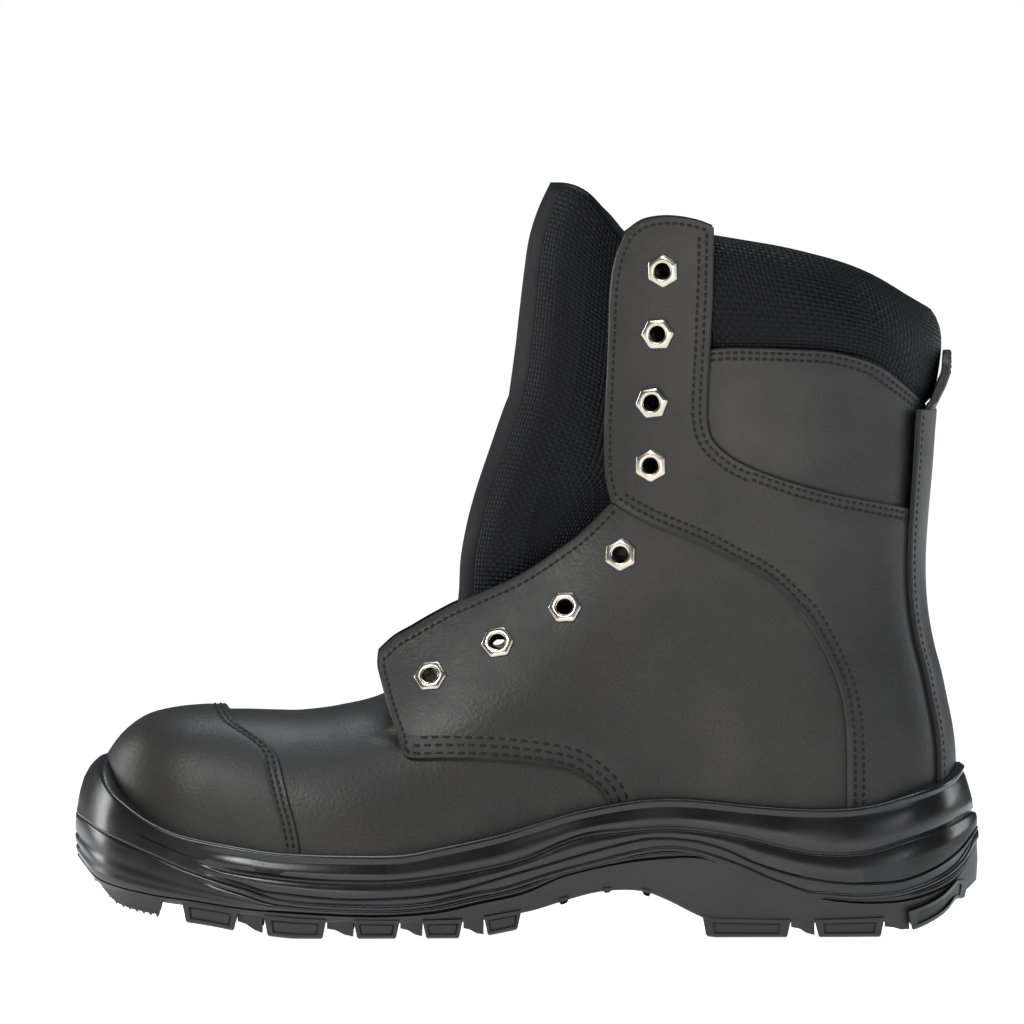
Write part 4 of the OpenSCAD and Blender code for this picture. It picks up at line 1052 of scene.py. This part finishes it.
WEB_LOW = by_station(
    [
        (-147, 24), (-146.6, 23.7), (-145, 21.7), (-140, 16.5), (-125, 12.5), (-110, 10.4), (-95, 7.9),
        (-80, 6.1), (-65, 5.5), (-22, 5.5), (-5, 8), (3, 9.7), (12, 12.5), (25, 15.7), (39, 15.8),
        (48, 12.5), (57, 8), (64, 5.5), (120, 5.5), (132, 8), (142, 12.6), (145.2, 15.5), (146.6, 17.6),
        (147, 18)
    ]
)
RIB_DROP = by_station([(-147, 1), (-5, 1), (10, 0.25), (42, 0.25), (56, 1), (147, 1)])
# Moulded lines round the wall, as heights along the boot
LINE_TOP = by_station(
    [
        (-147, 45.5), (-146, 44), (-142, 41), (-130, 32), (-115, 26), (-100, 22.8), (-84.3, 20.5),
        (-68.6, 19.1), (-47.8, 18.8), (-32.1, 20.5), (-16.4, 23.2), (-2.4, 26.6), (17.1, 34.1),
        (32.4, 36.2), (48.1, 37.2), (60.4, 36.2), (72.7, 34.1), (90.1, 30), (102.4, 28.3), (114.7, 29),
        (127, 32.8), (139, 37.6), (146, 41.5), (147, 42)
    ]
)
LINE_LOW = by_station(
    [
        (-147, 39.5), (-146, 38), (-142, 35), (-130, 26.6), (-115, 20.8), (-100, 17.4), (-84.3, 15.4),
        (-63.5, 13.3), (-42.7, 13.7), (-27, 15.7), (-2.4, 22.5), (37.9, 33.1), (53.6, 33.1), (65.9, 30.4),
        (78.2, 24.9), (90.1, 21.2), (102.4, 18.8), (114.7, 18.1), (127, 19.5), (142, 29), (146, 35),
        (147, 37)
    ]
)
BEAD = by_station(
    [
        (-147, 41), (-144, 38), (-140.5, 35.2), (-133.5, 31.4), (-124.5, 27), (-115, 22.5),
        (-105.3, 19.1), (-95.3, 16), (-84.3, 12.6), (-58, 10.6), (-37.2, 11.3), (-16.4, 15.4),
        (-9.2, 16.7), (6.5, 21.5), (22.2, 25.6), (37.9, 29.4), (48.1, 30.4), (58.7, 29), (72.7, 24.2),
        (90.1, 16.4), (102.4, 14.6), (114, 13.9), (127, 15.6), (142, 24.5), (146, 32), (147, 35)
    ]
)


def round_the_foot(steps):
    """Stations and sides of a ring that starts at the toe and goes along the outer side first."""
    t = np.linspace(0, 1, steps + 1)
    stations = np.concatenate([t, t[-2:0:-1]])
    sides = np.concatenate([np.full(steps + 1, -1.0), np.full(steps - 1, 1.0)])
    return stations, sides


FOOT_STEPS = 150    # stations along each side of a moulded ring


def swept(rings):
    """A closed solid from rings of (distance outside the plan, height), capped across the foot."""
    stations, sides = round_the_foot(FOOT_STEPS)
    grid = []
    for off, height in rings:
        x, y = plan_point(stations, sides, off(stations) * np.ones(stations.shape))
        grid.append(np.column_stack([x, y, height(stations)]))
    grid = np.array(grid)
    n, m = grid.shape[:2]
    faces = grid_faces(n, m, 0, True)
    for first in (0, (n - 1) * m):
        cap = [(first + j, first + j + 1, first + m - j - 1, first + m - j) for j in range(1, FOOT_STEPS)]
        cap = [f for f in cap if len(set(f)) == 4] + [(first, first + 1, first + m - 1)]
        faces += cap
    return grid.reshape(-1, 3), faces


def toe_tip(t):
    return 1 - step01(t / 0.13)


def heel_tip(t):
    return 1 - step01((1 - t) / 0.13)


def wall_off(z, t):
    """Distance of the sole's wall outside the plan: steep at the sides, leaning in at toe and heel."""
    top, low = curve(SOLE_TOP, t), curve(OUTSOLE_TOP, t)
    part = np.clip((z - low) / (top - low), 0, 1)
    side = 8.0 - 1.4 * part - 0.5 * part**4
    toe = curve([(0, 7.2), (0.15, 7.6), (0.38, 7.6), (0.48, 7.0), (0.6, 6.3),
                 (0.75, 4.9), (0.88, 2.4), (0.96, -0.4), (1, -2.6)], part)
    heel = curve([(0, 7.9), (0.2, 7.2), (0.4, 6.2), (0.6, 4.7), (0.8, 3.5), (0.93, 2.8), (1, 1.6)], part)
    return side + (toe - side) * toe_tip(t) + (heel - side) * heel_tip(t)


def along(t):
    """1 from the ball of the foot backwards, 0 round the toe."""
    return step01((station_x(t) + 112) / 16)


def off_the_tips(t):
    """1 along the sides, 0 at the toe and at the very back."""
    return along(t) * (1 - 0.8 * heel_tip(t))


def wall_ring(height, extra=0.0, part=None):
    """A ring on the wall; extra moves it outwards, all round or only where part(t) is 1."""
    return (
        lambda t: wall_off(height(t), t) + extra * (np.ones(t.shape) if part is None else part(t)), height
    )


def line(points):
    """Height of a moulded line, kept inside the wall."""
    def height(t):
        return np.clip(curve(points, t), curve(OUTSOLE_TOP, t) + 0.5, curve(SOLE_TOP, t) - 5.0)
    return height


def between(a, b, part):
    return lambda t: a(t) * (1 - part) + b(t) * part


def from_top(drop):
    return lambda t: curve(SOLE_TOP, t) - drop


def core_z(t):
    return np.minimum(curve(OUTSOLE_TOP, t), curve(FLOOR, t) - 8)


def outsole_edge(t):
    return curve(OUTSOLE_TOP, t)


bead, low_line, top_line, near_top = line(BEAD), line(LINE_LOW), line(LINE_TOP), from_top(4.6)


def over(below, height, gap):
    """A height that stays at least gap above another one."""
    return lambda t: np.maximum(height(t), below(t) + gap)


def shifted(height, rise):
    return lambda t: height(t) + rise


low_line, top_line = over(bead, low_line, 2.2), over(bead, top_line, 5.0)
midsole_rings = [
    (lambda t: np.full(t.shape, 0.5), lambda t: core_z(t) + 0.15),
    (lambda t: np.full(t.shape, 5.6), outsole_edge), wall_ring(shifted(outsole_edge, 0.15), -0.9),
    wall_ring(lambda t: np.minimum(outsole_edge(t) + 0.6, bead(t) - 1.5), -0.1),
    wall_ring(between(outsole_edge, bead, 0.2), 0.1),
    wall_ring(between(outsole_edge, bead, 0.27), -0.55, toe_tip),
    wall_ring(between(outsole_edge, bead, 0.34), 0.1), wall_ring(between(outsole_edge, bead, 0.5), 0.1),
    wall_ring(between(outsole_edge, bead, 0.57), -0.55, toe_tip),
    wall_ring(between(outsole_edge, bead, 0.64), 0.1),
    wall_ring(shifted(bead, -1.15), 0.05, off_the_tips),
    wall_ring(shifted(bead, -0.95), -0.35, off_the_tips),
    wall_ring(shifted(bead, -0.65), 0.45, off_the_tips), wall_ring(bead, 0.75, off_the_tips),
    wall_ring(shifted(bead, 0.65), 0.45, off_the_tips), wall_ring(shifted(bead, 1.0), -0.45),
    wall_ring(over(shifted(bead, 1.3), shifted(low_line, -0.7), 0), -0.1),
    wall_ring(over(shifted(bead, 1.5), shifted(low_line, -0.25), 0), 0.15, along),
    wall_ring(low_line, -0.75, along), wall_ring(shifted(low_line, 0.4), -0.7, along),
    wall_ring(shifted(low_line, 0.8), 0.05, along),
    wall_ring(between(low_line, top_line, 0.5), 0.35, along),
    wall_ring(shifted(top_line, -0.7), 0.35, along), wall_ring(shifted(top_line, -0.3), 0.0, along),
    wall_ring(top_line, -1.0, along), wall_ring(shifted(top_line, 0.6), -0.95, along),
    wall_ring(shifted(top_line, 1.3), -0.2, along),
    wall_ring(between(top_line, near_top, 0.35), 0.25, along),
    wall_ring(between(top_line, near_top, 0.7), 0.2, along), wall_ring(from_top(4.6), -0.15, along),
    wall_ring(from_top(3.4), -0.6, along), wall_ring(from_top(2.7), -0.5, along),
    wall_ring(from_top(2.0), 0.15, along), wall_ring(from_top(1.2), 0.4, along),
    wall_ring(from_top(0.55), -0.1), wall_ring(from_top(0.15), -0.9), wall_ring(from_top(0.0), -2.0),
    (lambda t: 1.4 - 4.3 * toe_tip(t) + 0.4 * heel_tip(t), from_top(0.15)),
    (lambda t: -0.4 - 4.6 * toe_tip(t), from_top(0.9)),
    (
        lambda t: -4.0 - 2.5 * toe_tip(t),
        lambda t: curve(FLOOR, t) + 0.3 * (curve(SOLE_TOP, t) - curve(FLOOR, t))
    ),
    (lambda t: np.full(t.shape, -6.0), lambda t: curve(FLOOR, t) - 4.5),
]
points, faces = swept(midsole_rings)
midsole = new_piece("midsole_wall", points, faces, MIDSOLE, 60)
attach(midsole, "root")
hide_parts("midsole")


def web_z(t):
    return np.maximum(curve(WEB_LOW, t), 0)


outsole_points, outsole_faces = [], []


def add_solid(points, faces):
    first = sum(len(p) for p in outsole_points)
    outsole_points.append(np.asarray(points))
    outsole_faces.extend([tuple(first + k for k in f) for f in faces])


add_solid(*swept([
    (lambda t: 3.6 + 2.6 * heel_tip(t), web_z),
    (lambda t: 5.2 + 1.9 * heel_tip(t), lambda t: web_z(t) + 0.4),
    (lambda t: 6.2 + 1.3 * heel_tip(t), lambda t: 0.5 * (web_z(t) + outsole_edge(t))),
    (lambda t: np.full(t.shape, 7.2), lambda t: outsole_edge(t) - 0.3),
    (lambda t: np.full(t.shape, 6.9), lambda t: outsole_edge(t) - 0.05),
    (lambda t: np.full(t.shape, 0.5), lambda t: core_z(t) - 0.1),
]))

TREAD_BLOCKS = [(-149, -124.5), (-117.5, -98.7), (-89.6, -68.5), (-59, -43.5), (-35.5, -22),
                (-14.5, -2), (60, 90), (98.5, 122), (130.5, 151)]
SMALL_RIBS = [(10.9, 14.4), (26, 28.8), (39.2, 42.3)]
CHANNEL_Y = 17.0
HEEL_TIP_X = 130.0
CHANNEL_W = 4.0


def ground_z(t):
    return np.maximum(0, curve(WEB_LOW, t) - 5.5 * curve(RIB_DROP, t))


def rim_y(x, side, off):
    """Distance of the sole's edge from the middle line at x, with the rim moved outwards by off."""
    t = np.linspace(0.001, 0.999, 400)
    px, py = plan_point(t, np.full(t.shape, float(side)), off)
    order = np.argsort(px)
    return np.interp(x, px[order], np.abs(py)[order], left=0.5, right=0.5)


def tread_block(x0, x1, side, y_in, outer, taper=1.1, steps=10, teeth=0, spread=0.0):
    """One block: wide at the web, bevelled at its ends and along its outer face, with a recessed side."""
    # Part of the height from the ground, end inset, rim offset, and offset of the recess in the outer face
    levels = [
        (0.0, taper + 0.5, 3.0, 3.0), (0.1, taper, 4.0, 4.0), (0.24, taper * 0.85, 4.4, 4.4),
        (0.3, taper * 0.8, 4.4, 3.5), (0.85, 0.2, 5.2, 4.2), (0.95, 0.1, 5.6, 5.5), (1.35, -0.1, 6.3, 6.3)
    ]
    if not outer:
        levels = [(0.0, taper + 0.4, 0, 0), (0.15, taper, 0, 0), (1.0, 0.0, 0, 0), (1.2, 0.0, 0, 0)]
    places = np.concatenate([[0, 0.1, 0.14], np.linspace(0.18, 0.82, steps - 3), [0.86, 0.9, 1]])
    in_recess = (places > 0.12) & (places < 0.88)
    if teeth:
        places = np.linspace(0, 1, 2 * teeth + 1)
        in_recess = np.zeros(places.shape, bool)
    grid = []
    for level, inset, off, recess in levels:
        x = x0 + inset + (x1 - x0 - 2 * inset) * places
        t = station(np.clip(x, -146.8, 146.8))
        low = ground_z(t)
        if teeth and level < 0.2:
            low = low + 1.5 * (np.arange(len(places)) % 2)
        z = low + (web_z(t) - low) * min(level, 1.0) + max(level - 1, 0) * 3
        if outer:
            y_out = np.maximum(
                np.where(in_recess, rim_y(x, side, recess + spread), rim_y(x, side, off + spread)),
                y_in * 0.3
            )
            near = np.minimum(np.full(x.shape, y_in + (0.5 if level < 0.1 else 0.0)), y_out - 0.4)
        else:
            y_out = np.full(x.shape, CHANNEL_Y - CHANNEL_W / 2 - (0.5 if level < 0.1 else 0.0))
            y_out = np.minimum(y_out, np.maximum(rim_y(x, side, 3.0) - 1.0, 0.6))
            near = -y_out
        grid.append(np.concatenate([np.column_stack([x, side * y_out, z]),
                                    np.column_stack([x[::-1], side * near[::-1], z[::-1]])]))
    grid = np.array(grid)
    n, m = grid.shape[:2]
    faces = grid_faces(n, m, 0, True)
    for first in (0, (n - 1) * m):
        faces += [(first + j, first + j + 1, first + m - j - 2, first + m - j - 1) for j in range(m // 2 - 1)]
    add_solid(grid.reshape(-1, 3), faces)


for x0, x1 in TREAD_BLOCKS:
    at_toe = x0 < -140
    for side in (-1, 1):
        tread_block(x0, x1, side, CHANNEL_Y + CHANNEL_W / 2, True, teeth=9 if at_toe else 0,
                    spread=1.8 if x1 > HEEL_TIP_X else 0.0)
    tread_block(x0 + 1.5, x1 - 1.5, 1, 0, False)
for x0, x1 in SMALL_RIBS:
    for side in (-1, 1):
        tread_block(x0, x1, side, 12, True, taper=0.7, steps=5)
# Slanted wedges in the gaps between the blocks, set back from the edge
WEDGES = [(-99, -90), (-68.5, -59), (-43.5, -35.5), (-22, -14.5), (90, 98.5), (122, 131)]
for x0, x1 in WEDGES:
    for side in (-1, 1):
        x = np.linspace(x0 + 0.3, x1 - 0.3, 4)
        t = station(x)
        low = ground_z(t) + np.array([3.4, 2.9, 1.4, 0.7])
        top = web_z(t) + 0.8
        y_out = rim_y(x, side, 1.6)
        y_top = rim_y(x, side, 4.6)
        y_in = np.full(4, CHANNEL_Y + CHANNEL_W / 2 + 1)
        rings = [np.column_stack([x, side * y_in, low]), np.column_stack([x, side * y_out, low]),
                 np.column_stack([x, side * y_top, top]), np.column_stack([x, side * y_in, top])]
        grid = np.stack(rings, 1)
        n, m = grid.shape[:2]
        faces = grid_faces(n, m, 0, True) + [tuple(range(m)), tuple(range((n - 1) * m, n * m))]
        add_solid(grid.reshape(-1, 3), faces)

outsole = new_piece("outsole_tread", np.concatenate(outsole_points), outsole_faces, RUBBER, 28)
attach(outsole, "root")
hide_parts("outsole")


# ---------------------------------------------------------------- padded pieces
CLOTH_FRAMES = 20    # frames the padding gets to settle


def inflate(piece, held, pressure=4.0, cap=3.0):
    """Blows the padding up as cloth; held is 1 where a seam keeps the point in its place."""
    start = np.empty(len(piece.data.vertices) * 3)
    piece.data.vertices.foreach_get("co", start)
    start = start.reshape(-1, 3)
    group = piece.vertex_groups.new(name="seam")
    for i, weight in enumerate(held):
        if weight > 0:
            group.add([i], float(weight), "REPLACE")
    cloth = piece.modifiers.new("cloth", "CLOTH")
    settings = cloth.settings
    settings.quality = 6
    settings.mass = 0.15
    settings.tension_stiffness = 12
    settings.compression_stiffness = 12
    settings.shear_stiffness = 4
    settings.bending_stiffness = 0.4
    settings.use_pressure = True
    settings.uniform_pressure_force = pressure
    settings.effector_weights.gravity = 0
    settings.vertex_group_mass = "seam"
    cloth.point_cache.frame_start, cloth.point_cache.frame_end = 1, CLOTH_FRAMES
    for number in range(1, CLOTH_FRAMES + 1):
        scene.frame_set(number)
    blown = piece.evaluated_get(bpy.context.evaluated_depsgraph_get()).data
    end = np.empty(len(blown.vertices) * 3)
    blown.vertices.foreach_get("co", end)
    move = end.reshape(-1, 3) - start
    size = np.linalg.norm(move, axis=1)
    limit = cap * MM
    scale = np.where(size > 1e-9, limit * np.tanh(size / limit) / np.maximum(size, 1e-9), 0)
    piece.modifiers.remove(cloth)
    piece.data.vertices.foreach_set("co", (start + move * scale[:, None]).ravel())
    piece.data.update()
    piece.vertex_groups.clear()
    scene.frame_set(1)


TONGUE_FRONT = [
    (92, -31), (104, -27.5), (114, -24.6), (128, -23.7), (138, -22), (147, -19.8), (157, -16.6),
    (166, -13.3), (176, -9.8), (185, -6.9), (200, -4.4), (210, -3.4), (224, -2), (238, -0.2), (248, 2.8),
    (258, 7.4)
]
TONGUE_TAPER = [(95, 0.55), (108, 0.65), (119, 0.75), (131, 0.87), (148, 1), (260, 1)]
TONGUE_REACH = [(95, 47), (136, 47), (147, 52), (158, 66.5), (182, 60), (206, 56), (228, 53), (258, 49)]
TONGUE_R, TONGUE_HALF, TONGUE_DEPTH, TONGUE_FOOT = 23.0, 20.5, 47.0, 101.0


def tongue_point(g, v, o):
    """Point of the tongue: g runs from -2 (outer flank) over 0 (front) to 2, v from foot to top edge."""
    g, v, o = np.broadcast_arrays(np.asarray(g, float), np.asarray(v, float), np.asarray(o, float))
    side = np.where(g < 0, -1.0, 1.0)
    turn = np.clip(np.abs(g), 0, 1) * math.pi / 2
    r = TONGUE_R - o
    near = np.cos(turn) ** (1 / 1.2)
    wide = np.sin(turn) ** (1 / 1.2)
    depth = np.where(np.abs(g) < 1, r * (1 - near), r + (np.abs(g) - 1) * (TONGUE_DEPTH - r))
    top = 257.4 - 0.022 * np.minimum(depth, 30) ** 2
    z = TONGUE_FOOT + v * (top - TONGUE_FOOT)
    fit = curve(TONGUE_TAPER, z)
    wing = np.maximum(depth - TONGUE_R, 0) * (curve(TONGUE_REACH, z) - TONGUE_R) / (TONGUE_DEPTH - TONGUE_R)
    back = np.minimum(depth, TONGUE_R) + wing
    return np.stack([curve(TONGUE_FRONT, z) + o + back, side * (TONGUE_HALF * fit - o) * wide, z], -1)


g_steps, v_steps = np.linspace(-2, 2, 61), np.linspace(0, 1, 46)
g, v = np.meshgrid(g_steps, v_steps, indexing="ij")
# The padding is thin at the bound edges and full in the middle
flank = np.minimum(2 - np.abs(g), 0.12 + v * 2.5)
edge = np.minimum(flank, (1 - v) * 9)


def rounding(near):
    return 2.6 * (1 - np.sqrt(1 - (1 - np.clip(near / 0.28, 0, 1)) ** 2))


outer_o, inner_o = 0.9 + rounding(flank), 8.2 - rounding(flank) - 2 * (rounding(edge) - rounding(flank))
outer_grid, inner_grid = tongue_point(g, v, outer_o), tongue_point(g, v, inner_o)
points, faces = shell(outer_grid, inner_grid)
tongue = new_piece("tongue_padding", points, faces, TEXTILE, 70)
# A smooth strip folds over the front
tongue.data.materials.append(BINDING)
middle = np.abs(g[:-1, :-1] + g[1:, 1:]).ravel() / 2
for face, place in zip(tongue.data.polygons, middle):
    face.material_index = 1 if place < 0.47 else 0
held = np.where((edge < 0.09) | (v < 0.15), 1.0, 0.0)
inflate(tongue, np.tile(held.ravel(), 2), pressure=3.0, cap=1.2)
width_scale = 34.0
cloth_map(tongue, np.tile(np.column_stack([g.ravel() * width_scale, v.ravel() * 150]), (2, 1)))
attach(tongue, "tongue")
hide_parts("tongue_cover", "tongue_foam", "tongue_lining")

# ---------------------------------------------------------------- collar
COLLAR_TOP = [(0, 214.5), (0.3, 220), (0.6, 228.8), (0.85, 234), (1.1, 238.5), (1.36, 243)]
SHAFT_EDGE = [(0, 180), (0.3, 186), (0.6, 197), (0.85, 200.5), (1.1, 201.5), (1.36, 201.5)]
collar_ways = np.linspace(-1.335, 1.335, 111)
# Section of the roll from the shaft panel over the top to the lining, as (depth, kind, place): "edge" is
# millimetres above the panel's edge, "top" millimetres from the top, "part" a part of the way up between
COLLAR_SECTION = [
    (6.6, "edge", -9), (4.3, "edge", -8), (4.0, "edge", -4), (3.6, "edge", 0.5), (2.2, "edge", 4),
    (1.5, "part", 0.3), (1.3, "part", 0.55), (1.2, "part", 0.8), (1.4, "top", -12), (1.7, "top", -8.5),
    (2.4, "top", -5.2), (3.6, "top", -2.6), (5.2, "top", -1.0), (7.0, "top", -0.5), (8.8, "top", -1.2),
    (10.2, "top", -3.2), (10.9, "top", -6.4), (11.1, "top", -10), (11.1, "top", -15), (11.1, "top", -20),
    (11.0, "top", -25), (9.6, "top", -27), (7.5, "top", -27.2)
]


def collar_way(c):
    return np.sign(c) * np.where(np.abs(c) < 1, np.abs(c) * ROUND, ROUND + (np.abs(c) - 1) * 100)


collar_grid = []
for depth, kind, place in COLLAR_SECTION:
    low, top = curve(SHAFT_EDGE, np.abs(collar_ways)), curve(COLLAR_TOP, np.hypot(collar_ways, 0.14) - 0.02)
    if kind == "edge":
        z = low + place
    elif kind == "part":
        z = low + 4 + (top - 16 - low) * place
    else:
        z = top + place
    full = curve(
        [(180, 0), (183, 1.6), (190, 1.9), (200, 1.4)], z
    ) * np.exp(-(collar_ways / 0.4) ** 2) * (depth < 4)
    collar_grid.append(leg_point(collar_way(collar_ways), z, depth - full))
collar_grid = np.array(collar_grid)
n, m = collar_grid.shape[:2]
faces = []
for i in range(n):
    k = (i + 1) % n
    faces += [(i * m + j, i * m + j + 1, k * m + j + 1, k * m + j) for j in range(m - 1)]
faces += [tuple(i * m for i in range(n)), tuple(i * m + m - 1 for i in range(n - 1, -1, -1))]
collar = new_piece("collar_padding", collar_grid.reshape(-1, 3), faces, TEXTILE, 70)
held = np.zeros((n, m))
held[:4] = 1
held[-3:] = 1
held[:, :2] = 1
held[:, -2:] = 1
inflate(collar, held.ravel(), pressure=3.0, cap=1.3)
length = np.concatenate([[0], np.cumsum(np.linalg.norm(np.diff(collar_grid[:, m // 4], axis=0), axis=1))])
cloth_map(collar, np.column_stack([np.tile(collar_way(collar_ways), n), np.repeat(length, m)]))
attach(collar, "root")
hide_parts("collar_cover", "collar_foam")

# ---------------------------------------------------------------- seams become pieces
for body, (points, faces) in seams.items():
    stitches = new_piece("stitches_" + body, points, faces, THREAD, 60)
    if body.startswith("bend_"):
        name = body[5:]
        bend(stitches)
    else:
        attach(stitches, body)

# ---------------------------------------------------------------- finish of the parts kept as they are
FINISH = {
    "black_leather": SMOOTH_LEATHER, "ballistic_textile": SMOOTH_LEATHER, "lining_textile": FOAM,
    "moulded_midsole": MIDSOLE, "rubber_tread": RUBBER, "nickel": NICKEL, "steel": STEEL, "foam": FOAM,
    "fibre_board": FIBRE,
}
for part in frame["record"]["subparts"]:
    node = nodes[part["node"]]
    node.data.materials.clear()
    node.data.materials.append(FINISH[part["material_slot"]])
